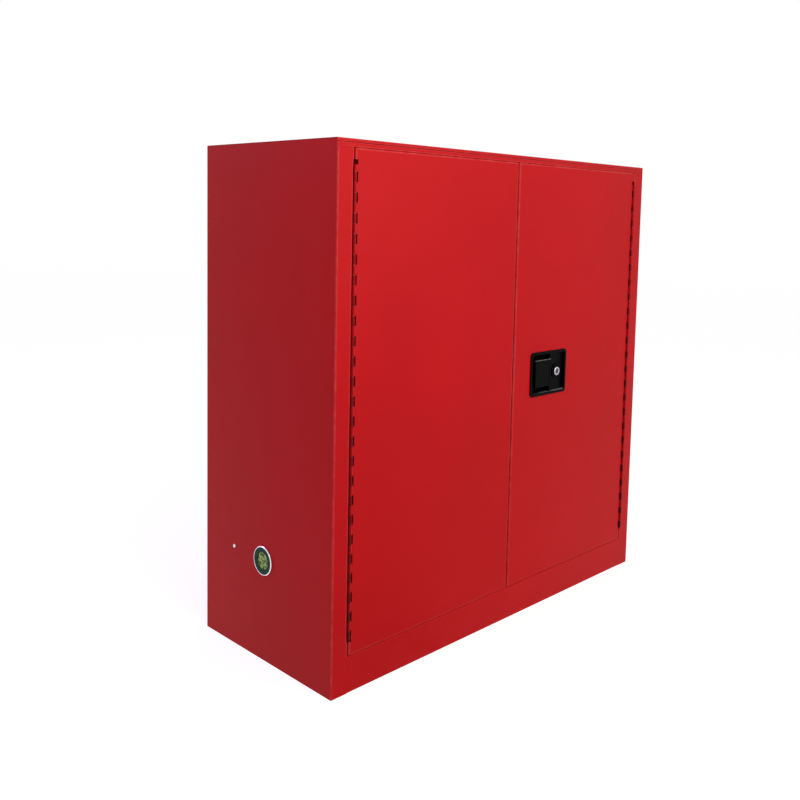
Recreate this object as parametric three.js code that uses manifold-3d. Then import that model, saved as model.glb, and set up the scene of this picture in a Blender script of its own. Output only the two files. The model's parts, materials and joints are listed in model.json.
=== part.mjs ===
// Two-door safety cabinet for flammable liquids: a double-walled steel box with flush double-skinned
// doors on continuous hinges, a flush paddle handle with a three-point latch, two screened vents,
// an earthing screw, a spill-tight floor pan and one adjustable shelf.
// Millimetres, +Z up, the front looks along -Y, and the origin is under the middle of the cabinet.

import * as THREE from "three";
import { mergeVertices } from "three/addons/utils/BufferGeometryUtils.js";
import Module from "manifold-3d";

const wasm = await Module();
wasm.setup();

// Cabinet body
const cabinetWidth = 1090;
const cabinetDepth = 460;
const cabinetHeight = 1120;
const sheetGauge = 1.2;
const airSpace = 38;
const seam = 0.3;
const overrun = 3;
const headerHeight = 16.5;
const sillHeight = 77.5;
const stopWidth = 16;
const linerLap = 15;
const sillFoot = 40;
const weldShare = 0.001;
const cornerSteps = 4;

// Continuous hinges
const pinRadius = 1.6;
const runningGap = 0.3;
const hingeGauge = 1.2;
const hingeProud = 1;
const hingeFootClear = 30;
const hingeHeadClear = 23;
const knuckleCount = 48;
const knuckleGap = 0.4;
const leafWidth = 34;
const barrelClear = 0.8;
const notchEnd = 4;
const barrelSides = 8;

// Doors
const doorThickness = 38;
const doorEndGap = 3.5;
const meetingX = 4;
const meetingGap = 4;
const stopGap = 1;
const innerPanFold = 15;

// Flush handle
const handleInset = 135;
const handleRise = 2.5;
const handleWidth = 144;
const handleHeight = 110;
const handleRadius = 9;
const rimProud = 3;
const rimWidth = 7;
const flangeLap = 4;
const pocketRadius = 5;
const pocketDepth = 20;
const pocketRight = 14;
const plateauDepth = 4;
const mouldWall = 2.5;
const pinSeat = 2;

// Paddle and its pin
const paddleAxisX = 9;
const paddleAxisY = 3;
const paddleReach = 59;
const paddleHeight = 68;
const paddleThickness = 3;
const paddleSink = 0.5;
const paddleLip = 6;
const paddleEyeRadius = 4.5;
const paddlePinRadius = 2;
const tailWidth = 3.5;
const tailHeight = 9;
const tailSlotClear = 1.5;
const pinSides = 12;

// Key lock
const lockX = 37;
const lockHeadRadius = 11;
const lockHeadProud = 1.5;
const lockBodyRadius = 9;
const lockBodyLength = 24;
const lockBossRadius = 12.5;
const lockBossLength = 12;
const collarRadius = 18;
const collarWall = 4;
const collarHeight = 2.5;
const plugRadius = 6;
const plugShankRadius = 3;
const keySlotWidth = 2;
const keySlotHeight = 8;
const keySlotDepth = 6;
const camLength = 22;
const camWidth = 10;
const camThickness = 1.6;
const lockSides = 20;

// Latch crank
const crankX = -6;
const crankThrow = 17.5;
const crankLean = 20;
const crankThickness = 3;
const crankArmWidth = 8;
const crankTailLength = 26;
const crankLift = 3.5;
const crankPinRadius = 2.5;
const crankPivotRadius = 3;
const crankHeadRadius = 6;
const crankHeadHeight = 1.8;
const crankBossRadius = 7;

// Latch rods, guides and strikes
const rodWidth = 8;
const rodThickness = 4;
const rodLift = 0.6;
const rodEyeWidth = 15;
const rodEyeHeight = 10;
const rodEyeClear = 0.5;
const rodEyeSlide = 1.8;
const rodShort = 1;
const boltShort = 1.8;
const rodHoleClear = 0.6;
const guideGauge = 1.5;
const guideWidth = 24;
const guideFoot = 20;
const guideInset = 45;
const boltGuideInset = 22;
const strikeWidth = 40;
const strikeDepth = 18;
const strikeGauge = 2;

// Vents
const ventY = 6;
const ventLeftZ = 224;
const ventRightDrop = 119.6;
const ventFlangeRadius = 35;
const ventFlangeProud = 4;
const ventChamfer = 1.5;
const ventTubeRadius = 25.5;
const ventTubeWall = 3;
const ventTubeInside = 8;
const ventSeatRadius = 29.5;
const ventSeatLift = 0.8;
const ventMeshGauge = 0.5;
const ventRingGauge = 1.5;
const ventRingBore = 21;
const ventNutRadius = 33;
const ventNutHeight = 5;
const ventSides = 24;

// Earthing screw
const earthBehind = 109;
const earthRise = 3;
const earthHeadRadius = 4;
const earthHeadHeight = 3;
const earthShankRadius = 2.5;
const earthShankLength = 14;
const earthNutRadius = 5;
const earthNutHeight = 4;
const earthSides = 12;
const nutSides = 6;

// Shelf and its fittings
const stripWidth = 20;
const stripGauge = 2;
const stripFrontClear = 66.9;
const stripRearClear = 59.6;
const stripFootClear = 70;
const stripHeadClear = 50;
const slotWidth = 6;
const slotHeight = 12;
const slotPitch = 60;
const clipGauge = 2.5;
const clipWidth = 16;
const clipHeight = 24;
const clipReach = 18;
const shelfSideClear = 1;
const shelfFrontClear = 25.7;
const shelfBackClear = 13.6;
const shelfEdge = 28;
const shelfHem = 12;

// Places worked out from the sizes above
const halfWidth = cabinetWidth / 2;
const backFace = cabinetDepth / 2;
const barrelRadius = pinRadius + runningGap + hingeGauge;
const frontFace = barrelRadius + hingeProud - cabinetDepth / 2;
const jambFace = halfWidth - 3 * sheetGauge - seam - airSpace;
const doorSideGap = 2 * hingeGauge + 3 * seam;
const doorSide = jambFace - doorSideGap;
const hingeAxisX = jambFace - doorSideGap / 2;
const hingeAxisY = frontFace - hingeProud;
const doorBack = frontFace + doorThickness;
const stopFace = doorBack + stopGap;
const stopBack = stopFace + sheetGauge;
const headerBottom = cabinetHeight - headerHeight;
const doorTop = headerBottom - doorEndGap;
const doorBottom = sillHeight + doorEndGap;
const hingeBottom = doorBottom + hingeFootClear;
const hingeTop = doorTop - hingeHeadClear;
const hingeLength = hingeTop - hingeBottom;
const shellTop = cabinetHeight - sheetGauge - seam;
const shellBack = backFace - sheetGauge - seam;
const linerFace = jambFace + sheetGauge + seam;
const linerTop = cabinetHeight - 2 * sheetGauge - airSpace;
const linerBack = backFace - 2 * sheetGauge - airSpace;
const floorTop = 2 * sheetGauge + airSpace;
const sillStopTop = sillHeight + stopWidth;
const sideWall = halfWidth - linerFace;
const ventRightZ = linerTop - ventRightDrop;
const earthY = ventY + earthBehind;
const earthZ = ventLeftZ + earthRise;
const rightDoorEdge = meetingX + meetingGap / 2;
const leftDoorEdge = meetingX - meetingGap / 2;
const handleX = rightDoorEdge + handleInset;
const handleZ = (doorTop + doorBottom) / 2 + handleRise;
const housingBack = pocketDepth + mouldWall;
const crankFront = housingBack + crankLift;
const rodFront = crankFront + crankThickness + rodLift;
const rodBack = rodFront + rodThickness;
const lean = THREE.MathUtils.degToRad(crankLean);
const rodOffset = (crankThrow * (1 + Math.cos(lean))) / 2;
const rodRise = crankThrow * Math.sin(lean);
const rodCentreY = frontFace + rodFront + rodThickness / 2;
const topRodX = handleX + crankX + rodOffset;
const bottomRodX = handleX + crankX - rodOffset;
const boltZ = handleZ + rodOffset;
const stripFrontY = stopFace + stripFrontClear;
const stripRearY = linerBack - stripRearClear;
const shelfFrontY = stopBack + shelfFrontClear;
const shelfBackY = linerBack - shelfBackClear;
const stripBottom = floorTop + stripFootClear;
const stripTop = linerTop - stripHeadClear;
const stripSlots = Math.floor((stripTop - stripBottom - slotPitch / 2) / slotPitch);
const shelfSlot = Math.floor(stripSlots / 2);

// Finishes
const paint = () => new THREE.MeshStandardMaterial({ color: 0xb5222b, roughness: 0.42, metalness: 0.1 });
const plastic = () => new THREE.MeshStandardMaterial({ color: 0x161618, roughness: 0.45, metalness: 0 });
const chrome = () => new THREE.MeshStandardMaterial({ color: 0xd4d6d8, roughness: 0.18, metalness: 1 });
const zinc = () => new THREE.MeshStandardMaterial({ color: 0xb4b8bc, roughness: 0.38, metalness: 0.9 });
const brass = () => new THREE.MeshStandardMaterial({ color: 0xb8b27c, roughness: 0.4, metalness: 0.8 });
const green = () => new THREE.MeshStandardMaterial({ color: 0x17402c, roughness: 0.5, metalness: 0 });

// A closed solid from a three.js geometry.
function solidOf(geometry) {
  const bare = geometry.clone();
  bare.deleteAttribute("normal");
  bare.deleteAttribute("uv");
  const merged = mergeVertices(bare, seam * weldShare);
  const vertProperties = new Float32Array(merged.attributes.position.array);
  const triVerts = new Uint32Array(merged.index.array);
  return new wasm.Manifold(new wasm.Mesh({ numProp: 3, vertProperties, triVerts }));
}

// A three.js geometry from a closed solid.
function geometryOf(solid) {
  const { vertProperties, triVerts } = solid.getMesh();
  const geometry = new THREE.BufferGeometry();
  geometry.setAttribute("position", new THREE.BufferAttribute(vertProperties, 3));
  geometry.setIndex(new THREE.BufferAttribute(triVerts, 1));
  const faceted = geometry.toNonIndexed();
  faceted.computeVertexNormals();
  return faceted;
}

// Cuts each tool from a solid.
function cut(solid, tools) {
  return tools.reduce((left, tool) => left.subtract(tool), solid);
}

// Joins a list of solids.
function join(solids) {
  return solids.reduce((sum, solid) => sum.add(solid));
}

// A named mesh of one solid.
function pieceOf(name, solid, material) {
  const mesh = new THREE.Mesh(geometryOf(solid), material);
  mesh.name = name;
  return mesh;
}

// A rectangular block between two corners.
function block(low, high) {
  const size = high.map((value, axis) => value - low[axis]);
  const middle = high.map((value, axis) => (value + low[axis]) / 2);
  return solidOf(new THREE.BoxGeometry(...size).translate(...middle));
}

// A block between two corners given with x counted outwards on the left or right side.
function sideBlock(side, low, high) {
  const ends = [side * low[0], side * high[0]];
  const left = Math.min(...ends);
  const right = Math.max(...ends);
  return block([left, low[1], low[2]], [right, high[1], high[2]]);
}

// Corner points of a regular outline whose corners lie on a circle.
function circlePoints(radius, sides) {
  const step = (2 * Math.PI) / sides;
  return Array.from({ length: sides }, (_, turn) => {
    const angle = (turn + 0.5) * step;
    return new THREE.Vector2(radius * Math.cos(angle), radius * Math.sin(angle));
  });
}

// A round bar, or a tube when it has a bore, standing along Z.
function tube(radius, bore, low, high, sides) {
  const shape = new THREE.Shape(circlePoints(radius, sides));
  const boreCorner = bore / Math.cos(Math.PI / sides);
  if (bore > 0) shape.holes.push(new THREE.Path(circlePoints(boreCorner, sides)));
  return risen(shape, low, high);
}

// An outline extruded along Z from the origin.
function raised(shape, depth) {
  return new THREE.ExtrudeGeometry(shape, { depth, bevelEnabled: false, curveSegments: cornerSteps });
}

// An outline in X and Y, extruded upwards.
function risen(shape, low, high) {
  return solidOf(raised(shape, high - low).translate(0, 0, low));
}

// An outline in Y and Z, extruded along X.
function across(shape, low, high) {
  const turned = new THREE.Matrix4().makeBasis(
    new THREE.Vector3(0, 1, 0),
    new THREE.Vector3(0, 0, 1),
    new THREE.Vector3(1, 0, 0),
  );
  return solidOf(raised(shape, high - low).applyMatrix4(turned).translate(low, 0, 0));
}

// An outline in X and Z, extruded from the front to the back.
function deep(shape, front, back) {
  return solidOf(raised(shape, back - front).rotateX(Math.PI / 2).translate(0, back, 0));
}

// A round bar along Y.
function pegBack(radius, x, z, front, back, sides) {
  const centre = new THREE.Vector2(x, z);
  return deep(new THREE.Shape(circlePoints(radius, sides).map((point) => point.add(centre))), front, back);
}

// A turned piece around Z from a closed outline of radius and height.
function turned(points, sides) {
  const outline = [...points, points[0]].map(([radius, height]) => new THREE.Vector2(radius, height));
  return solidOf(new THREE.LatheGeometry(outline, sides).rotateX(Math.PI / 2));
}

// The outline of a folded sheet: the path of one face, and the other face one gauge to its right.
function foldedOutline(path, gauge) {
  const points = path.map(([a, b]) => new THREE.Vector2(a, b));
  const normals = points.slice(1).map((point, i) => {
    const along = point.clone().sub(points[i]).normalize();
    return new THREE.Vector2(along.y, -along.x);
  });
  const inner = points.map((point, i) => {
    const before = normals[Math.max(i - 1, 0)];
    const after = normals[Math.min(i, normals.length - 1)];
    const mitre = before.clone().add(after).divideScalar(1 + before.dot(after));
    return point.clone().addScaledVector(mitre, gauge);
  });
  return [...points, ...inner.reverse()];
}

// A rectangle with round corners, centred on a point.
function roundedOutline(x, z, width, height, radius) {
  const right = x + width / 2 - radius;
  const left = x - width / 2 + radius;
  const top = z + height / 2 - radius;
  const bottom = z - height / 2 + radius;
  const shape = new THREE.Shape();
  shape.absarc(right, top, radius, 0, Math.PI / 2);
  shape.absarc(left, top, radius, Math.PI / 2, Math.PI);
  shape.absarc(left, bottom, radius, Math.PI, Math.PI * 1.5);
  shape.absarc(right, bottom, radius, Math.PI * 1.5, Math.PI * 2);
  shape.closePath();
  return shape;
}

// The room that a hinge barrel needs in the corner of a stile or a door.
function barrelNotch(side, from, to) {
  return sideBlock(
    side,
    [from, frontFace - overrun, hingeBottom - notchEnd],
    [to, hingeAxisY + barrelRadius + barrelClear, hingeTop + notchEnd],
  );
}

// A round hole through a side wall for a vent or a screw.
function sideHole(side, radius, y, z, sides) {
  const bar = tube(radius, 0, linerFace - overrun, halfWidth + overrun, sides);
  return bar.rotate([0, side * 90, 0]).translate([0, y, z]);
}

// The hole for a vent's tube: the left vent is low and the right one is high.
function ventHole(side) {
  const height = side < 0 ? ventLeftZ : ventRightZ;
  return sideHole(side, ventTubeRadius + seam, ventY, height, ventSides);
}

// Outer side panel: side wall, front stile, door jamb and stop, folded from one sheet.
function sidePanel(side) {
  const path = [
    [halfWidth, shellBack],
    [halfWidth, frontFace],
    [jambFace, frontFace],
    [jambFace, stopFace],
    [jambFace - stopWidth, stopFace],
  ];
  const outline = foldedOutline(path, sheetGauge).map(({ x, y }) => new THREE.Vector2(side * x, y));
  const stopEnd = jambFace - stopWidth - overrun;
  const header = sideBlock(
    side,
    [stopEnd, frontFace - overrun, headerBottom - seam],
    [halfWidth + overrun, frontFace + sheetGauge + seam, shellTop + overrun],
  );
  const stopHead = sideBlock(
    side,
    [stopEnd, stopFace - overrun, linerTop - seam],
    [jambFace, stopBack + overrun, shellTop + overrun],
  );
  const stopToe = sideBlock(
    side,
    [stopEnd, stopFace - overrun, -overrun],
    [jambFace, stopBack + overrun, sillStopTop + seam],
  );
  const notch = barrelNotch(side, jambFace - overrun, hingeAxisX + barrelRadius + barrelClear);
  const holes = [ventHole(side)];
  if (side < 0) holes.push(sideHole(side, earthShankRadius + seam, earthY, earthZ, earthSides));
  return cut(risen(new THREE.Shape(outline), 0, shellTop), [header, stopHead, stopToe, notch, ...holes]);
}

// The slot that a latch rod enters in the header or the sill.
function rodSlot(x, low, high) {
  const halfX = rodWidth / 2 + rodHoleClear;
  const halfY = rodThickness / 2 + rodHoleClear;
  return block([x - halfX, rodCentreY - halfY, low], [x + halfX, rodCentreY + halfY, high]);
}

// Roof sheet with its front lip, and the door header folded behind the lip.
function topPanel() {
  const roof = [
    [backFace, cabinetHeight],
    [frontFace, cabinetHeight],
    [frontFace, headerBottom],
  ];
  const header = [
    [frontFace, headerBottom + sheetGauge + seam],
    [frontFace, headerBottom],
    [stopFace, headerBottom],
    [stopFace, linerTop],
  ];
  const flipped = (path) => foldedOutline([...path].reverse(), sheetGauge);
  const lid = across(new THREE.Shape(flipped(roof)), -halfWidth, halfWidth);
  const inner = across(new THREE.Shape(flipped(header)), seam - jambFace, jambFace - seam);
  const slot = rodSlot(topRodX, headerBottom - overrun, headerBottom + sheetGauge + overrun);
  return cut(join([lid, inner]), [slot]);
}

// Underside sheet, and the sill folded up at the front with the lower door stop.
function basePanel() {
  const sill = [
    [frontFace + sillFoot, 0],
    [frontFace, 0],
    [frontFace, sillHeight],
    [stopFace, sillHeight],
    [stopFace, sillStopTop],
  ];
  const floor = block(
    [sheetGauge + seam - halfWidth, stopBack + seam, 0],
    [halfWidth - sheetGauge - seam, shellBack, sheetGauge],
  );
  const front = across(new THREE.Shape(foldedOutline(sill, sheetGauge)), seam - jambFace, jambFace - seam);
  const linkBack = stopBack + sillFoot;
  const link = block([seam - jambFace, frontFace + sheetGauge, 0], [jambFace - seam, linkBack, sheetGauge]);
  const corners = [-1, 1].map((side) => {
    const low = [linerFace, frontFace + sheetGauge + seam, 0];
    return sideBlock(side, low, [halfWidth - sheetGauge - seam, linkBack, sheetGauge]);
  });
  const slot = rodSlot(bottomRodX, sillHeight - sheetGauge - overrun, sillHeight + overrun);
  return cut(join([floor, front, link, ...corners]), [slot]);
}

// Outer back sheet.
function backPanel() {
  return block([-halfWidth, backFace - sheetGauge, 0], [halfWidth, backFace, shellTop]);
}

// Inner side wall, lapped behind the jamb, with the vent hole.
function sideLiner(side) {
  const wall = sideBlock(
    side,
    [linerFace, stopFace - linerLap, sheetGauge + airSpace],
    [linerFace + sheetGauge, linerBack + sheetGauge, linerTop - seam],
  );
  return cut(wall, [ventHole(side)]);
}

// Inner back wall, between the side liners.
function backLiner() {
  return block(
    [seam - linerFace, linerBack, sheetGauge + airSpace],
    [linerFace - seam, linerBack + sheetGauge, linerTop - seam],
  );
}

// Inner ceiling with an upturned front edge lapped behind the header.
function topLiner() {
  const front = stopBack + seam;
  const path = [
    [linerBack + sheetGauge, linerTop],
    [front, linerTop],
    [front, linerTop + linerLap],
  ];
  const outline = foldedOutline(path, sheetGauge);
  return across(new THREE.Shape(outline), -linerFace - sheetGauge, linerFace + sheetGauge);
}

// Spill-tight floor pan, open at the top.
function sumpPan() {
  const side = linerFace - seam;
  const front = stopBack + seam;
  const back = linerBack - seam;
  const bottom = floorTop - sheetGauge;
  const outer = block([-side, front, bottom], [side, back, sillStopTop]);
  const inner = block(
    [sheetGauge - side, front + sheetGauge, floorTop],
    [side - sheetGauge, back - sheetGauge, sillStopTop + overrun],
  );
  return outer.subtract(inner);
}

// Edges of a door in X, from the hinge side to the meeting side.
function doorEdges(side) {
  return side < 0 ? [-doorSide, leftDoorEdge] : [rightDoorEdge, doorSide];
}

// Outer door skin with its four folded edges.
function doorOuterPan(side) {
  const [left, right] = doorEdges(side);
  const outer = block([left, frontFace, doorBottom], [right, doorBack, doorTop]);
  const inner = block(
    [left + sheetGauge, frontFace + sheetGauge, doorBottom + sheetGauge],
    [right - sheetGauge, doorBack + overrun, doorTop - sheetGauge],
  );
  const notch = barrelNotch(side, hingeAxisX - barrelRadius - barrelClear, doorSide + overrun);
  return cut(outer, [inner, notch]);
}

// Inner door skin, nested inside the folded edges of the outer one.
function doorInnerPan(side) {
  const [left, right] = doorEdges(side);
  const inset = sheetGauge + seam;
  const wall = inset + sheetGauge;
  const front = doorBack - innerPanFold;
  const outer = block([left + inset, front, doorBottom + inset], [right - inset, doorBack, doorTop - inset]);
  const inner = block(
    [left + wall, front - overrun, doorBottom + wall],
    [right - wall, doorBack - sheetGauge, doorTop - wall],
  );
  return outer.subtract(inner);
}

// The slot in a door's meeting edge for the centre bolt.
function boltSlot(low, high) {
  const halfZ = rodWidth / 2 + rodHoleClear;
  const halfY = rodThickness / 2 + rodHoleClear;
  return block([low, rodCentreY - halfY, boltZ - halfZ], [high, rodCentreY + halfY, boltZ + halfZ]);
}

// The window in the right door's skin that the handle housing sits in.
function handleCutout() {
  const width = handleWidth - 2 * flangeLap + 2 * seam;
  const height = handleHeight - 2 * flangeLap + 2 * seam;
  const shape = roundedOutline(handleX, handleZ, width, height, handleRadius - flangeLap + seam);
  return deep(shape, frontFace - overrun, frontFace + sheetGauge + overrun);
}

function rightDoorOuterPan() {
  const wallRoom = 2 * sheetGauge + seam + overrun;
  return cut(doorOuterPan(1), [
    handleCutout(),
    rodSlot(topRodX, doorTop - wallRoom, doorTop + overrun),
    rodSlot(bottomRodX, doorBottom - overrun, doorBottom + wallRoom),
    boltSlot(rightDoorEdge - overrun, rightDoorEdge + wallRoom),
  ]);
}

function rightDoorInnerPan() {
  const wallRoom = 2 * sheetGauge + seam + overrun;
  return cut(doorInnerPan(1), [
    rodSlot(topRodX, doorTop - wallRoom, doorTop + overrun),
    rodSlot(bottomRodX, doorBottom - overrun, doorBottom + wallRoom),
    boltSlot(rightDoorEdge - overrun, rightDoorEdge + wallRoom),
  ]);
}

function leftDoorOuterPan() {
  const wallRoom = 2 * sheetGauge + seam + overrun;
  return cut(doorOuterPan(-1), [boltSlot(leftDoorEdge - wallRoom, leftDoorEdge + overrun)]);
}

function leftDoorInnerPan() {
  const wallRoom = 2 * sheetGauge + seam + overrun;
  return cut(doorInnerPan(-1), [boltSlot(leftDoorEdge - wallRoom, leftDoorEdge + overrun)]);
}

// A hinge leaf: a comb of teeth, each rolled into a knuckle. Knuckles alternate between two leaves.
function hingeLeaf(side, leafStart, firstKnuckle) {
  const pitch = hingeLength / knuckleCount;
  const toothFront = hingeAxisY + pinRadius + runningGap + hingeGauge / 2;
  const combFront = hingeAxisY + barrelRadius + runningGap;
  const leafBack = hingeAxisY + leafWidth;
  const outline = [new THREE.Vector2(leafBack, hingeTop), new THREE.Vector2(leafBack, hingeBottom)];
  const knuckles = [];
  if (firstKnuckle > 0) outline.push(new THREE.Vector2(combFront, hingeBottom));
  for (let i = firstKnuckle; i < knuckleCount; i += 2) {
    const low = hingeBottom + i * pitch + (i > 0 ? knuckleGap / 2 : 0);
    const high = hingeBottom + (i + 1) * pitch - (i < knuckleCount - 1 ? knuckleGap / 2 : 0);
    const tooth = [[combFront, low], [toothFront, low], [toothFront, high], [combFront, high]];
    outline.push(...tooth.map(([y, z]) => new THREE.Vector2(y, z)));
    const knuckle = tube(barrelRadius, pinRadius + runningGap, low, high, barrelSides);
    knuckles.push(knuckle.translate([side * hingeAxisX, hingeAxisY, 0]));
  }
  if (firstKnuckle === 0) outline.push(new THREE.Vector2(combFront, hingeTop));
  const edges = [side * leafStart, side * (leafStart + hingeGauge)].sort((a, b) => a - b);
  return join([across(new THREE.Shape(outline), edges[0], edges[1]), ...knuckles]);
}

function hingePin(side) {
  const pin = tube(pinRadius, 0, hingeBottom, hingeTop, barrelSides);
  return pin.translate([side * hingeAxisX, hingeAxisY, 0]);
}

// Handle housing: rim, finger pocket, lock plateau with its collar, lock boss and crank boss.
// All handle pieces are drawn about the middle of the handle, with y counted back from the door face.
function handleHousing() {
  const bodyWidth = handleWidth - 2 * flangeLap;
  const bodyHeight = handleHeight - 2 * flangeLap;
  const rim = deep(roundedOutline(0, 0, handleWidth, handleHeight, handleRadius), -rimProud, -seam);
  const bodyShape = roundedOutline(0, 0, bodyWidth, bodyHeight, handleRadius - flangeLap);
  const body = deep(bodyShape, -rimProud, housingBack);
  const mouthWidth = handleWidth - 2 * rimWidth;
  const mouthHeight = handleHeight - 2 * rimWidth;
  const mouthShape = roundedOutline(0, 0, mouthWidth, mouthHeight, pocketRadius);
  const mouth = deep(mouthShape, -rimProud - overrun, plateauDepth);
  const pocketWidth = pocketRight + mouthWidth / 2;
  const pocketX = pocketRight - pocketWidth / 2;
  const pocketShape = roundedOutline(pocketX, 0, pocketWidth, mouthHeight, pocketRadius);
  const pocket = deep(pocketShape, -rimProud - overrun, pocketDepth);
  const relief = block(
    [pocketRight + mouldWall, plateauDepth + mouldWall, mouldWall - bodyHeight / 2],
    [bodyWidth / 2 - mouldWall, housingBack + overrun, bodyHeight / 2 - mouldWall],
  );
  const shell = cut(join([rim, body]), [mouth, pocket, relief]);
  const lockPeg = (radius, front, back) => pegBack(radius, lockX, 0, front, back, lockSides);
  const collar = lockPeg(collarRadius, plateauDepth - collarHeight, plateauDepth + seam);
  const well = lockPeg(collarRadius - collarWall, -rimProud, plateauDepth);
  const lockBoss = lockPeg(lockBossRadius, plateauDepth, plateauDepth + lockBossLength);
  const lockBore = lockPeg(lockBodyRadius + seam, -rimProud, housingBack);
  const crankPeg = (radius, front, back) => pegBack(radius, crankX, 0, front, back, pinSides);
  const crankBoss = crankPeg(crankBossRadius, pocketDepth, crankFront - runningGap);
  const crankBore = crankPeg(crankPivotRadius + seam, pocketDepth - overrun, crankFront);
  const tailSlot = block(
    [crankX - tailSlotClear, pocketDepth - overrun, -tailCentre() - tailHeight / 2 - tailSlotClear],
    [pocketRight - mouldWall / 2, housingBack + overrun, tailHeight / 2 + tailSlotClear - tailCentre()],
  );
  const pinReach = mouthHeight / 2 + pinSeat;
  const pinBore = tube(paddlePinRadius + seam, 0, -pinReach, pinReach, pinSides);
  const paddleBore = pinBore.translate([paddleAxisX, paddleAxisY, 0]);
  const solid = join([shell, collar.subtract(well), lockBoss, crankBoss]);
  return cut(solid, [lockBore, crankBore, tailSlot, paddleBore]);
}

// How far below the crank the paddle's tail meets the crank's lower arm.
function tailCentre() {
  return (crankTailLength - crankArmWidth / 2) * Math.cos(lean);
}

// The paddle: a plate with a grip lip, a hinge eye and the tail that pushes the crank.
function handlePaddle() {
  const left = paddleAxisX - paddleReach;
  const halfHeight = paddleHeight / 2;
  const back = paddleThickness - paddleSink;
  const plate = block([left, -paddleSink, -halfHeight], [paddleAxisX, back, halfHeight]);
  const lip = block([left, -paddleSink, -halfHeight], [left + paddleThickness, paddleLip, halfHeight]);
  const onAxis = (solid) => solid.translate([paddleAxisX, paddleAxisY, 0]);
  const eye = onAxis(tube(paddleEyeRadius, 0, -halfHeight, halfHeight, pinSides));
  const tailLeft = paddleAxisX - seam;
  const tail = block(
    [tailLeft, paddleAxisY, -tailCentre() - tailHeight / 2],
    [tailLeft + tailWidth, crankFront + crankThickness - seam, tailHeight / 2 - tailCentre()],
  );
  const boreReach = halfHeight + overrun;
  const bore = onAxis(tube(paddlePinRadius + runningGap, 0, -boreReach, boreReach, pinSides));
  return cut(join([plate, lip, eye, tail]), [bore]);
}

function paddlePin() {
  const reach = handleHeight / 2 - rimWidth + pinSeat - seam;
  return tube(paddlePinRadius, 0, -reach, reach, pinSides).translate([paddleAxisX, paddleAxisY, 0]);
}

// Lock cylinder: a bright head on the plateau and a body through the boss.
function lockCylinder() {
  const head = pegBack(lockHeadRadius, lockX, 0, -lockHeadProud, plateauDepth - seam, lockSides);
  const body = pegBack(lockBodyRadius, lockX, 0, 0, lockBodyLength, lockSides);
  const boreFront = -lockHeadProud - overrun;
  const bore = pegBack(plugRadius + runningGap, lockX, 0, boreFront, lockBodyLength + overrun, lockSides);
  return join([head, body]).subtract(bore);
}

// Key plug with its slot and a shank that carries the cam.
function lockPlug() {
  const plug = pegBack(plugRadius, lockX, 0, -lockHeadProud, lockBodyLength, lockSides);
  const shank = pegBack(plugShankRadius, lockX, 0, lockBodyLength - overrun, camBack(), pinSides);
  const slot = block(
    [lockX - keySlotWidth / 2, -lockHeadProud - overrun, -keySlotHeight / 2],
    [lockX + keySlotWidth / 2, keySlotDepth - lockHeadProud, keySlotHeight / 2],
  );
  return join([plug, shank]).subtract(slot);
}

// How far back the rear face of the lock cam is.
function camBack() {
  return rodBack + rodLift + rodEyeClear + camThickness;
}

// Locking cam, hanging down when the lock is open.
function lockCam() {
  const half = camWidth / 2;
  const arm = block([lockX - half, camBack() - camThickness, -camLength], [lockX + half, camBack(), half]);
  const bore = pegBack(plugShankRadius + seam, lockX, 0, rodFront, camBack() + overrun, pinSides);
  return arm.subtract(bore);
}

// A bar in the plane of the handle from the crank's axis, leaning by an angle.
function crankArm(length, angle, front, back) {
  const half = crankArmWidth / 2;
  const arm = block([-half, front, 0], [half, back, length]);
  return arm.rotate([0, angle, 0]).translate([crankX, 0, 0]);
}

// Four-armed crank with three drive pins: rods left and right, bolt above, paddle tail below.
function latchCrank() {
  const back = crankFront + crankThickness;
  const reach = crankThrow + crankArmWidth / 2;
  const arms = [0, 90, 270].map((turn) => crankArm(reach, turn - crankLean, crankFront, back));
  const tail = crankArm(crankTailLength, 180 - crankLean, crankFront, back);
  const hub = pegBack(crankHeadRadius, crankX, 0, crankFront, back, pinSides);
  const pins = [0, 90, 270].map((turn) => {
    const angle = THREE.MathUtils.degToRad(turn - crankLean);
    const x = crankX + crankThrow * Math.sin(angle);
    const z = crankThrow * Math.cos(angle);
    return pegBack(crankPinRadius, x, z, back - seam, rodBack + rodEyeClear / 2, pinSides);
  });
  const boreRadius = crankPivotRadius + runningGap;
  const bore = pegBack(boreRadius, crankX, 0, crankFront - overrun, back + overrun, pinSides);
  return join([...arms, tail, hub, ...pins]).subtract(bore);
}

// Shouldered bolt that the crank turns on.
function crankPivot() {
  const headFront = crankFront + crankThickness + runningGap;
  const shank = pegBack(crankPivotRadius, crankX, 0, pocketDepth + seam, headFront + seam, pinSides);
  const head = pegBack(crankHeadRadius, crankX, 0, headFront, headFront + crankHeadHeight, pinSides);
  return join([shank, head]);
}

// The eye of a rod along Z that a crank pin drives: the pin may slide across it by a little.
function rodEye(x, z) {
  const low = [x - rodEyeWidth / 2, frontFace + rodFront, z - rodEyeHeight / 2];
  const high = [x + rodEyeWidth / 2, frontFace + rodBack, z + rodEyeHeight / 2];
  return block(low, high);
}

// The hole in a rod's eye that a crank pin works in.
function eyeSlot(x, z, halfX, halfZ) {
  return block(
    [x - halfX, frontFace + rodFront - overrun, z - halfZ],
    [x + halfX, frontFace + rodBack + overrun, z + halfZ],
  );
}

// A vertical latch rod from its eye beside the crank to just past the door's end.
function latchRod(x, eyeZ, tipZ) {
  const ends = [eyeZ, tipZ].sort((a, b) => a - b);
  const half = rodWidth / 2;
  const bar = block([x - half, frontFace + rodFront, ends[0]], [x + half, frontFace + rodBack, ends[1]]);
  const reach = crankPinRadius + rodEyeClear;
  return join([bar, rodEye(x, eyeZ)]).subtract(eyeSlot(x, eyeZ, reach + rodEyeSlide / 2, reach));
}

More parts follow.
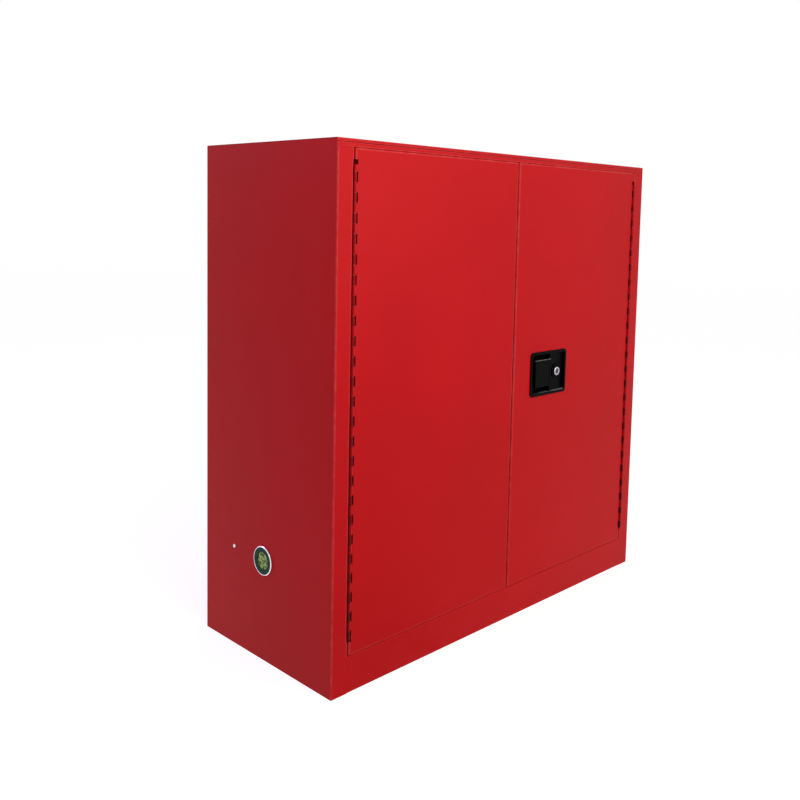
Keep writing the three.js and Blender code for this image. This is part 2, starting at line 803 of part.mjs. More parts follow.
function topRod() {
  return latchRod(topRodX, handleZ + rodRise, headerBottom - rodShort);
}

function bottomRod() {
  return latchRod(bottomRodX, handleZ - rodRise, sillHeight + rodShort);
}

// Sideways bolt at the middle of the door's meeting edge.
function centreBolt() {
  const eyeX = handleX + crankX - rodRise;
  const tip = leftDoorEdge + boltShort;
  const half = rodWidth / 2;
  const bar = block([tip, frontFace + rodFront, boltZ - half], [eyeX, frontFace + rodBack, boltZ + half]);
  const eye = block(
    [eyeX - rodEyeHeight / 2, frontFace + rodFront, boltZ - half],
    [eyeX + rodEyeHeight / 2, frontFace + rodBack, boltZ + half],
  );
  const reach = crankPinRadius + rodEyeClear;
  return join([bar, eye]).subtract(eyeSlot(eyeX, boltZ, reach, rodEyeSlide / 2 + crankPinRadius));
}

// Angle bracket on the outer skin that steadies a vertical rod.
function rodGuide(x, z) {
  const start = frontFace + sheetGauge + seam;
  const path = [
    [start, z + guideFoot],
    [start, z],
    [frontFace + rodBack + guideGauge, z],
  ];
  const outline = foldedOutline([...path].reverse(), guideGauge);
  const angle = across(new THREE.Shape(outline), x - guideWidth / 2, x + guideWidth / 2);
  return angle.subtract(rodSlot(x, z - guideGauge - overrun, z + guideGauge + overrun));
}

// Angle bracket that steadies the centre bolt.
function boltGuide() {
  const x = rightDoorEdge + boltGuideInset;
  const start = frontFace + sheetGauge + seam;
  const path = [
    [x + guideFoot, start],
    [x, start],
    [x, frontFace + rodBack + guideGauge],
  ];
  const outline = foldedOutline(path, guideGauge);
  const angle = risen(new THREE.Shape(outline), boltZ - guideWidth / 2, boltZ + guideWidth / 2);
  return angle.subtract(boltSlot(x - guideGauge - overrun, x + guideGauge + overrun));
}

// Strike plate behind a rod slot in the header or the sill.
function rodStrike(x, low) {
  const plate = block(
    [x - strikeWidth / 2, rodCentreY - strikeDepth / 2, low],
    [x + strikeWidth / 2, rodCentreY + strikeDepth / 2 - stopGap, low + strikeGauge],
  );
  return plate.subtract(rodSlot(x, low - overrun, low + strikeGauge + overrun));
}

// Strike plate behind the bolt slot in the left door's edge.
function boltStrike() {
  const right = leftDoorEdge - 2 * sheetGauge - 2 * seam;
  const plate = block(
    [right - strikeGauge, rodCentreY - strikeDepth / 2, boltZ - strikeWidth / 2],
    [right, doorBack - sheetGauge - seam, boltZ + strikeWidth / 2],
  );
  return plate.subtract(boltSlot(right - strikeGauge - overrun, right + overrun));
}

// Vent pieces are drawn about their own axis: z is counted outwards from the cabinet's side face.
function ventTube() {
  const bore = ventTubeRadius - ventTubeWall;
  const inside = -sideWall - ventTubeInside;
  return turned(
    [
      [bore, inside],
      [ventTubeRadius, inside],
      [ventTubeRadius, seam],
      [ventFlangeRadius, seam],
      [ventFlangeRadius, ventFlangeProud - ventChamfer],
      [ventFlangeRadius - ventChamfer, ventFlangeProud],
      [ventSeatRadius, ventFlangeProud],
      [ventSeatRadius, ventSeatLift],
      [bore, ventSeatLift],
    ],
    ventSides,
  );
}

function ventMesh() {
  const low = ventSeatLift + seam;
  return tube(ventSeatRadius - seam, 0, low, low + ventMeshGauge, ventSides);
}

function ventRing() {
  const low = ventSeatLift + ventMeshGauge + 2 * seam;
  return tube(ventSeatRadius - seam, ventRingBore, low, low + ventRingGauge, ventSides);
}

function ventNut() {
  const high = -sideWall - seam;
  return tube(ventNutRadius, ventTubeRadius + seam, high - ventNutHeight, high, ventSides);
}

function earthScrew() {
  return turned(
    [
      [0, -earthShankLength],
      [earthShankRadius, -earthShankLength],
      [earthShankRadius, seam],
      [earthHeadRadius, seam],
      [earthHeadRadius, earthHeadHeight / 2],
      [earthHeadRadius / 2, earthHeadHeight],
      [0, earthHeadHeight],
    ],
    earthSides,
  );
}

function earthNut() {
  const high = -sheetGauge - seam;
  const bore = earthShankRadius + seam;
  return tube(earthNutRadius, bore, high - earthNutHeight, high, nutSides);
}

// Slotted strip on the liner that carries a shelf clip.
function shelfStrip(side, y) {
  const back = linerFace - seam;
  const bar = sideBlock(
    side,
    [back - stripGauge, y - stripWidth / 2, stripBottom],
    [back, y + stripWidth / 2, stripTop],
  );
  const slots = Array.from({ length: stripSlots }, (_, i) => {
    const low = slotBottom(i);
    return sideBlock(
      side,
      [back - stripGauge - overrun, y - slotWidth / 2, low],
      [back + overrun, y + slotWidth / 2, low + slotHeight],
    );
  });
  return cut(bar, slots);
}

// Height of the lower edge of a strip's slot.
function slotBottom(i) {
  return stripBottom + slotPitch * (i + 1 / 2);
}

// Shelf clip: a tab in the strip's slot, a back plate and the ledge that the shelf lies on.
function shelfClip(side, y) {
  const low = slotBottom(shelfSlot);
  const back = linerFace - stripGauge - 2 * seam;
  const path = [
    [back, low + slotHeight / 2 - clipHeight],
    [back, ledgeTop()],
    [back - clipReach, ledgeTop()],
  ];
  const folded = foldedOutline([...path].reverse(), clipGauge);
  const points = folded.map(([x, z]) => new THREE.Vector2(side * x, z));
  const angle = deep(new THREE.Shape(points), y - clipWidth / 2, y + clipWidth / 2);
  const tab = sideBlock(
    side,
    [back - clipGauge / 2, y - slotWidth / 2 + seam, low + seam],
    [linerFace - seam, y + slotWidth / 2 - seam, low + slotHeight / 2 - seam],
  );
  return join([angle, tab]);
}

// Height of the clip ledges that carry the shelf.
function ledgeTop() {
  return slotBottom(shelfSlot) + slotHeight / 2;
}

// Shelf: a flat top with deep folded edges and a hem turned in under the front and back.
function shelf() {
  const side = linerFace - stripGauge - clipGauge - 3 * seam - shelfSideClear;
  const low = ledgeTop() + seam;
  const high = low + shelfEdge;
  const outer = block([-side, shelfFrontY, low], [side, shelfBackY, high]);
  const room = block(
    [sheetGauge - side, shelfFrontY + sheetGauge, low + sheetGauge],
    [side - sheetGauge, shelfBackY - sheetGauge, high - sheetGauge],
  );
  const mouth = block(
    [sheetGauge - side, shelfFrontY + shelfHem, low - overrun],
    [side - sheetGauge, shelfBackY - shelfHem, low + sheetGauge + overrun],
  );
  return cut(outer, [room, mouth]);
}

// Sub-assemblies
function shell() {
  const group = new THREE.Group();
  group.add(
    pieceOf("left_side_panel", sidePanel(-1), paint()),
    pieceOf("right_side_panel", sidePanel(1), paint()),
    pieceOf("top_panel", topPanel(), paint()),
    pieceOf("base_panel", basePanel(), paint()),
    pieceOf("back_panel", backPanel(), paint()),
    pieceOf("left_liner", sideLiner(-1), paint()),
    pieceOf("right_liner", sideLiner(1), paint()),
    pieceOf("top_liner", topLiner(), paint()),
    pieceOf("back_liner", backLiner(), paint()),
    pieceOf("sump_pan", sumpPan(), paint()),
    pieceOf("top_strike", rodStrike(topRodX, headerBottom + sheetGauge + seam), zinc()),
    pieceOf("bottom_strike", rodStrike(bottomRodX, sillHeight - sheetGauge - seam - strikeGauge), zinc()),
  );
  return group;
}

function hinge(name, side) {
  const group = new THREE.Group();
  group.add(
    pieceOf(`${name}_hinge_frame_leaf`, hingeLeaf(side, jambFace - seam - hingeGauge, 0), paint()),
    pieceOf(`${name}_hinge_door_leaf`, hingeLeaf(side, doorSide + seam, 1), paint()),
    pieceOf(`${name}_hinge_pin`, hingePin(side), zinc()),
  );
  return group;
}

function doors() {
  const group = new THREE.Group();
  group.add(
    pieceOf("left_door_outer_pan", leftDoorOuterPan(), paint()),
    pieceOf("left_door_inner_pan", leftDoorInnerPan(), paint()),
    pieceOf("centre_strike", boltStrike(), zinc()),
    pieceOf("right_door_outer_pan", rightDoorOuterPan(), paint()),
    pieceOf("right_door_inner_pan", rightDoorInnerPan(), paint()),
    pieceOf("top_rod_guide", rodGuide(topRodX, doorTop - guideInset), zinc()),
    pieceOf("bottom_rod_guide", rodGuide(bottomRodX, doorBottom + guideInset), zinc()),
    pieceOf("centre_bolt_guide", boltGuide(), zinc()),
    pieceOf("top_rod", topRod(), zinc()),
    pieceOf("bottom_rod", bottomRod(), zinc()),
    pieceOf("centre_bolt", centreBolt(), zinc()),
  );
  return group;
}

function handle() {
  const group = new THREE.Group();
  group.position.set(handleX, frontFace, handleZ);
  group.add(
    pieceOf("handle_housing", handleHousing(), plastic()),
    pieceOf("handle_paddle", handlePaddle(), plastic()),
    pieceOf("paddle_pin", paddlePin(), zinc()),
    pieceOf("lock_cylinder", lockCylinder(), chrome()),
    pieceOf("lock_plug", lockPlug(), chrome()),
    pieceOf("lock_cam", lockCam(), zinc()),
    pieceOf("latch_crank", latchCrank(), zinc()),
    pieceOf("crank_pivot", crankPivot(), zinc()),
  );
  return group;
}

function vent(name, side, z) {
  const group = new THREE.Group();
  group.position.set(side * halfWidth, ventY, z);
  group.rotation.y = (side * Math.PI) / 2;
  group.add(
    pieceOf(`${name}_vent_tube`, ventTube(), chrome()),
    pieceOf(`${name}_vent_mesh`, ventMesh(), brass()),
    pieceOf(`${name}_vent_ring`, ventRing(), green()),
    pieceOf(`${name}_vent_nut`, ventNut(), zinc()),
  );
  return group;
}

function earthing() {
  const group = new THREE.Group();
  group.position.set(-halfWidth, earthY, earthZ);
  group.rotation.y = -Math.PI / 2;
  group.add(pieceOf("earth_screw", earthScrew(), zinc()), pieceOf("earth_nut", earthNut(), zinc()));
  return group;
}

function shelving() {
  const group = new THREE.Group();
  const places = [
    ["left_front", -1, stripFrontY],
    ["left_rear", -1, stripRearY],
    ["right_front", 1, stripFrontY],
    ["right_rear", 1, stripRearY],
  ];
  for (const [name, side, y] of places) {
    group.add(pieceOf(`${name}_shelf_strip`, shelfStrip(side, y), zinc()));
    group.add(pieceOf(`${name}_shelf_clip`, shelfClip(side, y), zinc()));
  }
  group.add(pieceOf("shelf", shelf(), zinc()));
  return group;
}

const cabinet = new THREE.Group();
cabinet.add(
  shell(),
  doors(),
  hinge("left", -1),
  hinge("right", 1),
  handle(),
  vent("left", -1, ventLeftZ),
  vent("right", 1, ventRightZ),
  earthing(),
  shelving(),
);

export default cabinet;
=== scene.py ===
"""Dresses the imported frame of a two-door safety cabinet for flammable liquids.

Lengths are metres in the frame's own coordinates: +Z is up, the doors face -Y, and +X is to the right
of someone who stands in front of the doors. Each sub-assembly is a class that takes its places from the
frame, builds its surfaces from formulas and dresses them. Sides are -1 for the left and +1 for the right.
"""
import json
import logging
import math
from collections.abc import Sequence
from dataclasses import dataclass
from enum import Enum
from functools import cached_property

import bmesh
import bpy
import numpy as np
from mathutils import Matrix, Vector


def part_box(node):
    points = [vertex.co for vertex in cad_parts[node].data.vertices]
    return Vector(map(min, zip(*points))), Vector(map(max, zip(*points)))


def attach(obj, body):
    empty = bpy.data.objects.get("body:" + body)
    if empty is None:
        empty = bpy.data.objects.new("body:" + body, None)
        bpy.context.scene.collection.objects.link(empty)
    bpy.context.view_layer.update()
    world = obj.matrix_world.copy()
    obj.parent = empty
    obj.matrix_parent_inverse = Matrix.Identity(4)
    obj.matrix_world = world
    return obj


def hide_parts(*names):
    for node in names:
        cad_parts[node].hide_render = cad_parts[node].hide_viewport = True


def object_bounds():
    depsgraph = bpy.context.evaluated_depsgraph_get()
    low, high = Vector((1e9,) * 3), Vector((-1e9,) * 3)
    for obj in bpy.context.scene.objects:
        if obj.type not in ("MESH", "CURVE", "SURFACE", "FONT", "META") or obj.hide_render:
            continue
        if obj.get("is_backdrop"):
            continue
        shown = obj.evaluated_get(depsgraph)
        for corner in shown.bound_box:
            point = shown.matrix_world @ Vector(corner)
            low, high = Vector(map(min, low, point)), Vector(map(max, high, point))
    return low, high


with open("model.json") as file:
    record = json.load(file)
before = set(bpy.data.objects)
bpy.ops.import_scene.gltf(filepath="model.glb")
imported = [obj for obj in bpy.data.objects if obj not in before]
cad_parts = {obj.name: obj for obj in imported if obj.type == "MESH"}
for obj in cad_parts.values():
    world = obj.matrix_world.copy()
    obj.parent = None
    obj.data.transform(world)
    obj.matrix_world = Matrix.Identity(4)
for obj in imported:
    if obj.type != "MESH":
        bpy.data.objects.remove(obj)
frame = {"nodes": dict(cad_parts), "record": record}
log = logging.getLogger("cabinet")

MM = 0.001
SEAM = 0.3 * MM
WELD = 0.002 * MM
NEAR = 0.05 * MM
X, Y, Z = np.eye(3)
Point = tuple[float, float]
Triple = tuple[float, float, float]
Colour = tuple[int, int, int]


class Slot(Enum):
    """The record's material slots."""

    RED = "red_paint"
    BLACK = "black_plastic"
    CHROME = "chrome_metal"
    ZINC = "zinc_metal"
    BRASS = "brass_mesh"
    GREEN = "green_plastic"


# Surfaces


class Skin:
    """Points and faces gathered for one mesh, from grids, caps and windows."""

    def __init__(self) -> None:
        """Starts with nothing in it."""
        self.points: list[np.ndarray] = []
        self.bends: list[np.ndarray] = []
        self.faces: list[np.ndarray] = []
        self.count = 0

    def _add(self, points: np.ndarray, faces: Sequence[np.ndarray], bend: np.ndarray | float) -> None:
        """Adds points with their bend weights, and faces that count from the first of these points.

        Args:
            points: the points, one to a row.
            faces: blocks of faces, each with one corner count.
            bend: one weight, or one for each point.
        """
        self.points.append(points)
        self.bends.append(np.broadcast_to(np.asarray(bend, float), len(points)))
        self.faces += [block + self.count for block in faces]
        self.count += len(points)

    def grid(self, points: np.ndarray, keep: np.ndarray | None = None, wrap: bool = False,
             bend: np.ndarray | None = None) -> "Skin":
        """Adds a sheet of quads between neighbouring points of a grid.

        Args:
            points: rows by columns by three.
            keep: which cells are made, rows less one by the cells in a row.
            wrap: whether the last column joins the first one.
            bend: how much each point belongs to a fold, rows by columns.
        Returns:
            this skin.
        """
        rows, columns = points.shape[:2]
        index = np.arange(rows * columns).reshape(rows, columns)
        if wrap:
            index = np.concatenate([index, index[:, :1]], axis=1)
        quads = np.stack([index[:-1, :-1], index[:-1, 1:], index[1:, 1:], index[1:, :-1]], axis=-1)
        quads = quads.reshape(-1, 4)
        if keep is not None:
            quads = quads[keep.reshape(-1)]
        weights = 0.0 if bend is None else np.broadcast_to(bend, (rows, columns)).reshape(-1)
        self._add(points.reshape(-1, 3), [quads], weights)
        return self

    def cap(self, loop: np.ndarray) -> None:
        """Closes a flat loop of points with one face."""
        self._add(loop, [np.arange(len(loop))[None, :]], 0.0)

    def block(self, rows: np.ndarray, bend: np.ndarray | None = None) -> "Skin":
        """Adds stacked loops as a closed block, with a cap on the first and the last one.

        Args:
            rows: the loops, rows by points by three.
            bend: how much each point belongs to a fold.
        Returns:
            this skin.
        """
        self.grid(rows, wrap=True, bend=bend)
        self.cap(rows[0])
        self.cap(rows[-1])
        return self

    def at(self, origin: Sequence[float], axes: Sequence[np.ndarray] = (X, Y, Z)) -> "Skin":
        """Moves everything that was drawn about zero: origin + each number times its axis."""
        self.points = [np.asarray(origin) + points @ np.asarray(axes) for points in self.points]
        return self

    def window(self, corners: np.ndarray, loop: np.ndarray) -> None:
        """Fills the room between a four-cornered cell and a loop inside it.

        Args:
            corners: the cell's corners, four by three.
            loop: points in the same turning sense, a quarter of them facing each corner in turn.
        """
        size = len(loop)
        quarter = size // 4
        step = np.arange(size)
        ring = 4 + step
        after = 4 + (step + 1) % size
        fans = np.stack([step // quarter, ring, after], axis=1)
        corner = np.arange(4)
        bridges = np.stack([corner, 4 + (corner + 1) * quarter % size, (corner + 1) % 4], axis=1)
        self._add(np.concatenate([corners, loop]), [fans, bridges], 0.0)

    def mesh(self, name: str, inside: np.ndarray | None = None) -> bpy.types.Mesh:
        """Makes the mesh, with doubles merged and faces outwards.

        Args:
            name: the mesh's name.
            inside: a point behind an open sheet, which its faces look away from.
        Returns:
            the mesh, smooth, with its bend weights in an attribute.
        """
        mesh = bpy.data.meshes.new(name)
        used = np.unique(np.concatenate([block.reshape(-1) for block in self.faces]))
        number = np.zeros(self.count, int)
        number[used] = np.arange(len(used))
        faces = [face for block in self.faces for face in number[block].tolist()]
        mesh.from_pydata(np.concatenate(self.points)[used].tolist(), [], faces)
        weights = mesh.attributes.new("bend", "FLOAT", "POINT")
        weights.data.foreach_set("value", np.concatenate(self.bends)[used].astype(np.float32))
        work = bmesh.new()
        work.from_mesh(mesh)
        bmesh.ops.remove_doubles(work, verts=work.verts, dist=WELD)
        bmesh.ops.dissolve_degenerate(work, edges=work.edges, dist=WELD)
        bmesh.ops.recalc_face_normals(work, faces=work.faces)
        work.to_mesh(mesh)
        work.free()
        if inside is not None and outwardness(mesh, inside) < 0:
            mesh.flip_normals()
        mesh.shade_smooth()
        return mesh


def outwardness(mesh: bpy.types.Mesh, inside: np.ndarray) -> float:
    """Sums, over the faces, the area times how far the normal looks away from a point.

    Args:
        mesh: the mesh.
        inside: the point.
    Returns:
        the sum, above zero where the faces look away from the point.
    """
    size = len(mesh.polygons)
    centres, normals, areas = np.empty(size * 3), np.empty(size * 3), np.empty(size)
    mesh.polygons.foreach_get("center", centres)
    mesh.polygons.foreach_get("normal", normals)
    mesh.polygons.foreach_get("area", areas)
    away = ((centres.reshape(-1, 3) - inside) * normals.reshape(-1, 3)).sum(axis=1)
    return float((away * areas).sum())


def bent_path(corners: Sequence[Point], radii: Sequence[float | np.ndarray], steps: int = 6,
              margin: float = 1.5 * MM) -> tuple[np.ndarray, np.ndarray]:
    """Follows straight flats with a round bend at each corner.

    Where the path turns by an angle a from direction u to direction v, the bend starts r tan(a/2) before
    the corner. With n the side that it turns to, its points are start + n r + r (u sin t - n cos t), with t
    from 0 to a. A corner without a turn gives one point. Extra points stand a margin off each long bend.

    Args:
        corners: the corners of the path.
        radii: the bend radius at each corner, one number or one for each row.
        steps: how many parts a bend has.
        margin: how far the extra points stand from a bend.
    Returns:
        points, rows by points by two, and how much each point belongs to a bend.
    """
    spots = np.asarray(corners, float)
    rows = max(np.size(radius) for radius in radii)
    parts = [np.broadcast_to(spots[0], (rows, 1, 2))]
    weights = [0.0]
    for i in range(1, len(spots) - 1):
        before, after = spots[i] - spots[i - 1], spots[i + 1] - spots[i]
        reach = np.linalg.norm(before), np.linalg.norm(after)
        u, v = before / reach[0], after / reach[1]
        turn = math.acos(float(np.clip(u @ v, -1, 1)))
        if turn < 1e-4:
            parts.append(np.broadcast_to(spots[i], (rows, 1, 2)))
            weights.append(0.0)
            continue
        radius = np.broadcast_to(np.reshape(radii[i], (-1, 1, 1)), (rows, 1, 1))
        side = (v - u * math.cos(turn)) / math.sin(turn)
        setback = radius * math.tan(turn / 2)
        start, end = spots[i] - u * setback, spots[i] + v * setback
        angle = np.linspace(0, turn, steps + 1)[None, :, None]
        arc = start + side * radius + radius * (u * np.sin(angle) - side * np.cos(angle))
        if reach[0] > 4 * margin:
            parts.append(start - u * margin)
            weights.append(0.0)
        parts.append(arc)
        weights += [1.0] * (steps + 1)
        if reach[1] > 4 * margin:
            parts.append(end + v * margin)
            weights.append(0.0)
    parts.append(np.broadcast_to(spots[-1], (rows, 1, 2)))
    weights.append(0.0)
    return np.concatenate(parts, axis=1), np.asarray(weights)


def cells_between(values: np.ndarray, low: float, high: float) -> np.ndarray:
    """Tells which cells between neighbouring values lie from low to high."""
    middle = (values[1:] + values[:-1]) / 2
    return (middle > low) & (middle < high)


def round_loop(width: float, height: float, radius: float, steps: int = 6) -> np.ndarray:
    """Gives a rectangle with round corners, centred on zero.

    Each corner is an arc: its centre stands in from the corner by the radius both ways, and its points
    are the centre plus radius (cos t, sin t), a quarter turn for each corner, starting at the top right.

    Args:
        width: along the first axis.
        height: along the second axis.
        radius: the corner radius.
        steps: how many parts a corner has.
    Returns:
        four times steps + 1 points, turning anticlockwise.
    """
    quarter = np.linspace(0, math.pi / 2, steps + 1)
    angle = (quarter[None, :] + np.arange(4)[:, None] * math.pi / 2).reshape(-1)
    sign = np.repeat([[1, 1], [-1, 1], [-1, -1], [1, -1]], steps + 1, axis=0)
    centre = sign * (np.array([width, height]) / 2 - radius)
    return centre + radius * np.stack([np.cos(angle), np.sin(angle)], axis=1)


def circle(radius: float, count: int, start: float = 0.0) -> np.ndarray:
    """Gives points on a circle about zero, from a start angle."""
    angle = start + np.arange(count) * 2 * math.pi / count
    return radius * np.stack([np.cos(angle), np.sin(angle)], axis=1)


def rounded(profile: Sequence[Point], radius: float | Sequence[float], steps: int = 4) -> np.ndarray:
    """Rounds the inner corners of an open profile, by one radius or by one for each point."""
    return bent_path(profile, np.broadcast_to(radius, len(profile)), steps)[0][0]


def lathe(profile: np.ndarray, sides: int, closed: bool = False) -> np.ndarray:
    """Turns a profile of radius and height about the third axis: (r cos t, r sin t, h).

    Args:
        profile: points of radius and height.
        sides: how many parts the turn has.
        closed: whether the profile's last point joins its first one.
    Returns:
        profile points by sides by three.
    """
    if closed:
        profile = np.concatenate([profile, profile[:1]])
    angle = np.arange(sides) * 2 * math.pi / sides
    radius, height = profile[:, 0, None], profile[:, 1, None]
    return np.stack([radius * np.cos(angle), radius * np.sin(angle), height + 0 * angle], axis=-1)


def stack_loops(loops: Sequence[np.ndarray], heights: Sequence[float]) -> np.ndarray:
    """Puts flat loops of equal length at their heights, as a grid."""
    return np.stack([np.column_stack([loop, np.full(len(loop), height)])
                     for loop, height in zip(loops, heights)])


# Finishes


def linear(colour: Sequence[int]) -> tuple[float, float, float, float]:
    """Turns an sRGB colour of 0 to 255 into Blender's linear colour.

    Args:
        colour: red, green and blue.
    Returns:
        red, green, blue and an alpha of 1.
    """
    share = np.asarray(colour, float) / 255
    value = np.where(share <= 0.04045, share / 12.92, ((share + 0.055) / 1.055) ** 2.4)
    return (*value.tolist(), 1.0)


class Recipe:
    """The node tree of one material, on the object's own coordinates."""

    def __init__(self, name: str) -> None:
        """Starts a material with one principled shader.

        Args:
            name: the material's name.
        """
        self.material = bpy.data.materials.new(name)
        self.material.use_nodes = True
        self.tree = self.material.node_tree
        self.shader = next(node for node in self.tree.nodes if node.type == "BSDF_PRINCIPLED")
        self.coordinates = self.tree.nodes.new("ShaderNodeTexCoord").outputs["Object"]

    def set(self, **values: float | tuple) -> "Recipe":
        """Sets the shader's own sockets, with underscores for blanks in their names.

        Args:
            values: each socket's value.
        Returns:
            this recipe.
        """
        for name, value in values.items():
            self.shader.inputs[name.replace("_", " ")].default_value = value
        return self

    def node(self, kind: str, **links: object) -> bpy.types.Node:
        """Adds a node, and gives its inputs a value or a link by name.

        Args:
            kind: the node's type.
            links: each input's value or link.
        Returns:
            the node.
        """
        node = self.tree.nodes.new(kind)
        for name, value in links.items():
            self.feed(node.inputs[name.replace("_", " ")], value)
        return node

    def feed(self, socket: bpy.types.NodeSocket, value: object) -> None:
        """Links an output to a socket, or sets the socket's value.

        Args:
            socket: the socket.
            value: the output or the value.
        """
        if isinstance(value, bpy.types.NodeSocket):
            self.tree.links.new(value, socket)
        else:
            socket.default_value = value

    def stretched(self, scale: Sequence[float]) -> bpy.types.NodeSocket:
        """Gives the coordinates times a scale along each axis."""
        node = self.node("ShaderNodeMapping", Vector=self.coordinates, Scale=tuple(scale))
        return node.outputs["Vector"]

    def noise(self, scale: float, detail: float = 2.0,
              vector: bpy.types.NodeSocket | None = None) -> bpy.types.NodeSocket:
        """Gives cloudy values of about 0 to 1, with so many clouds to the metre."""
        node = self.node("ShaderNodeTexNoise", Vector=vector or self.coordinates, Scale=scale, Detail=detail)
        return node.outputs["Fac"]

    def cells(self, scale: float) -> bpy.types.NodeSocket:
        """Gives one random grey to each cell of a crystal pattern.

        Args:
            scale: how many cells there are to the metre.
        Returns:
            the grey.
        """
        node = self.node("ShaderNodeTexVoronoi", Vector=self.coordinates, Scale=scale)
        grey = self.node("ShaderNodeRGBToBW", Color=node.outputs["Color"])
        return grey.outputs["Val"]

    def spread(self, value: bpy.types.NodeSocket, low: float, high: float,
               start: float = 0.3, end: float = 0.7) -> bpy.types.NodeSocket:
        """Maps a value from start and end to low and high.

        Args:
            value: the value.
            low: what start becomes.
            high: what end becomes.
            start: the lower end of the value.
            end: its upper end.
        Returns:
            the mapped value.
        """
        node = self.node("ShaderNodeMapRange", Value=value)
        for name, number in (("From Min", start), ("From Max", end), ("To Min", low), ("To Max", high)):
            node.inputs[name].default_value = number
        return node.outputs["Result"]

    def mix(self, share: object, first: object, second: object) -> bpy.types.NodeSocket:
        """Blends two colours.

        Args:
            share: how much there is of the second colour.
            first: the first colour.
            second: the second colour.
        Returns:
            the blend.
        """
        node = self.tree.nodes.new("ShaderNodeMix")
        node.data_type = "RGBA"
        for socket, value in ((node.inputs[0], share), (node.inputs[6], first), (node.inputs[7], second)):
            self.feed(socket, value)
        return node.outputs[2]

    def sums(self, operation: str, first: object, second: object) -> bpy.types.NodeSocket:
        """Combines two values.

        Args:
            operation: what is done with them.
            first: the first value.
            second: the second value.
        Returns:
            the result.
        """
        node = self.tree.nodes.new("ShaderNodeMath")
        node.operation = operation
        self.feed(node.inputs[0], first)
        self.feed(node.inputs[1], second)
        return node.outputs[0]

    def fold(self) -> bpy.types.NodeSocket:
        """Gives how much a point belongs to a fold of the sheet. Above zero this weight paints a highlight,
        and below zero it paints shade.

        Returns:
            the point's bend weight.
        """
        node = self.tree.nodes.new("ShaderNodeAttribute")
        node.attribute_name = "bend"
        return node.outputs["Fac"]

    def bump(self, layers: Sequence[tuple[bpy.types.NodeSocket, float]]) -> "Recipe":
        """Feeds the shader's normal with layers of relief, each a value and its depth in metres.

        Args:
            layers: the layers, the lowest first.
        Returns:
            this recipe.
        """
        normal = None
        for height, depth in layers:
            node = self.node("ShaderNodeBump", Height=height, Distance=depth, Strength=1.0)
            if normal is not None:
                self.feed(node.inputs["Normal"], normal)
            normal = node.outputs["Normal"]
        self.feed(self.shader.inputs["Normal"], normal)
        return self

    def dress(self, colour: bpy.types.NodeSocket, roughness: bpy.types.NodeSocket) -> bpy.types.Material:
        """Feeds the shader's colour and roughness and gives the material.

        Args:
            colour: the colour.
            roughness: the roughness.
        Returns:
            the material.
        """
        self.feed(self.shader.inputs["Base Color"], colour)
        self.feed(self.shader.inputs["Roughness"], roughness)
        return self.material


def tinted(colour: Sequence[int], share: float) -> tuple[float, float, float, float]:
    """Gives a colour made lighter or darker by a share."""
    red, green, blue, alpha = linear(colour)
    return (red * (1 + share), green * (1 + share), blue * (1 + share), alpha)


@dataclass(frozen=True)
class PowderCoat:
    """Satin powder coat on sheet steel: orange peel, slightly wavy flats, and folds painted paler, partly as
    the thinner coat there and partly as a painted highlight.

    A bend weight below zero paints shade in a gap.
    """

    name: str = "red_powder_coat"
    colour: Colour = (204, 15, 22)
    # paler colour on the folds: partly thinner coat, partly a painted highlight
    thin_coat_highlight_colour: Colour = (234, 88, 88)
    # painted shade for gaps, used where the bend weight is below zero
    painted_shade_colour: Colour = (22, 4, 6)
    gloss: float = 0.1
    uneven: float = 0.05
    peel_to_metre: float = 420.0
    peel_depth: float = 0.02 * MM
    wave_depth: float = 0.2 * MM
    satin: Point = (0.39, 0.43)
    clouds_to_metre: float = 3.0
    specks_to_metre: float = 1400.0
    speck_share: float = 0.25
    speck_dark: float = -0.3
    patches_to_metre: float = 60.0
    thin_coat_highlight_share: float = 0.5
    painted_shade_share: float = 0.85
    haze_to_metre: float = 28.0
    waves_to_metre: float = 2.2

    def material(self) -> bpy.types.Material:
        """Makes the material.

        Returns:
            the finished material.
        """
        recipe = Recipe(self.name).set(Specular_IOR_Level=self.gloss, IOR=1.5)
        cloud = recipe.noise(self.clouds_to_metre)
        speck = recipe.noise(self.specks_to_metre, 1.0)
        base = recipe.mix(recipe.spread(cloud, 0, 1), tinted(self.colour, -self.uneven),
                          tinted(self.colour, self.uneven))
        specked = recipe.mix(recipe.spread(speck, 0, self.speck_share, 0.55, 0.8), base,
                             tinted(self.colour, self.speck_dark))
        # Folds are painted paler in patches, partly as thinner coat and partly as a painted highlight.
        patch = recipe.spread(recipe.noise(self.patches_to_metre), 0.35, 1.0)
        patchy_highlight = recipe.sums("MULTIPLY", recipe.fold(), patch)
        highlighted = recipe.mix(recipe.sums("MULTIPLY", patchy_highlight, self.thin_coat_highlight_share), specked, linear(self.thin_coat_highlight_colour))
        # A bend weight below zero paints the colour dark, as shade in a gap.
        shaded = recipe.mix(recipe.sums("MULTIPLY", recipe.fold(), -self.painted_shade_share), highlighted,
                            linear(self.painted_shade_colour))
        rough = recipe.spread(recipe.noise(self.haze_to_metre, 3.0), *self.satin)
        recipe.bump([(recipe.noise(self.waves_to_metre, 1.0), self.wave_depth),
                     (recipe.noise(self.peel_to_metre, 2.0), self.peel_depth)])
        return recipe.dress(shaded, rough)


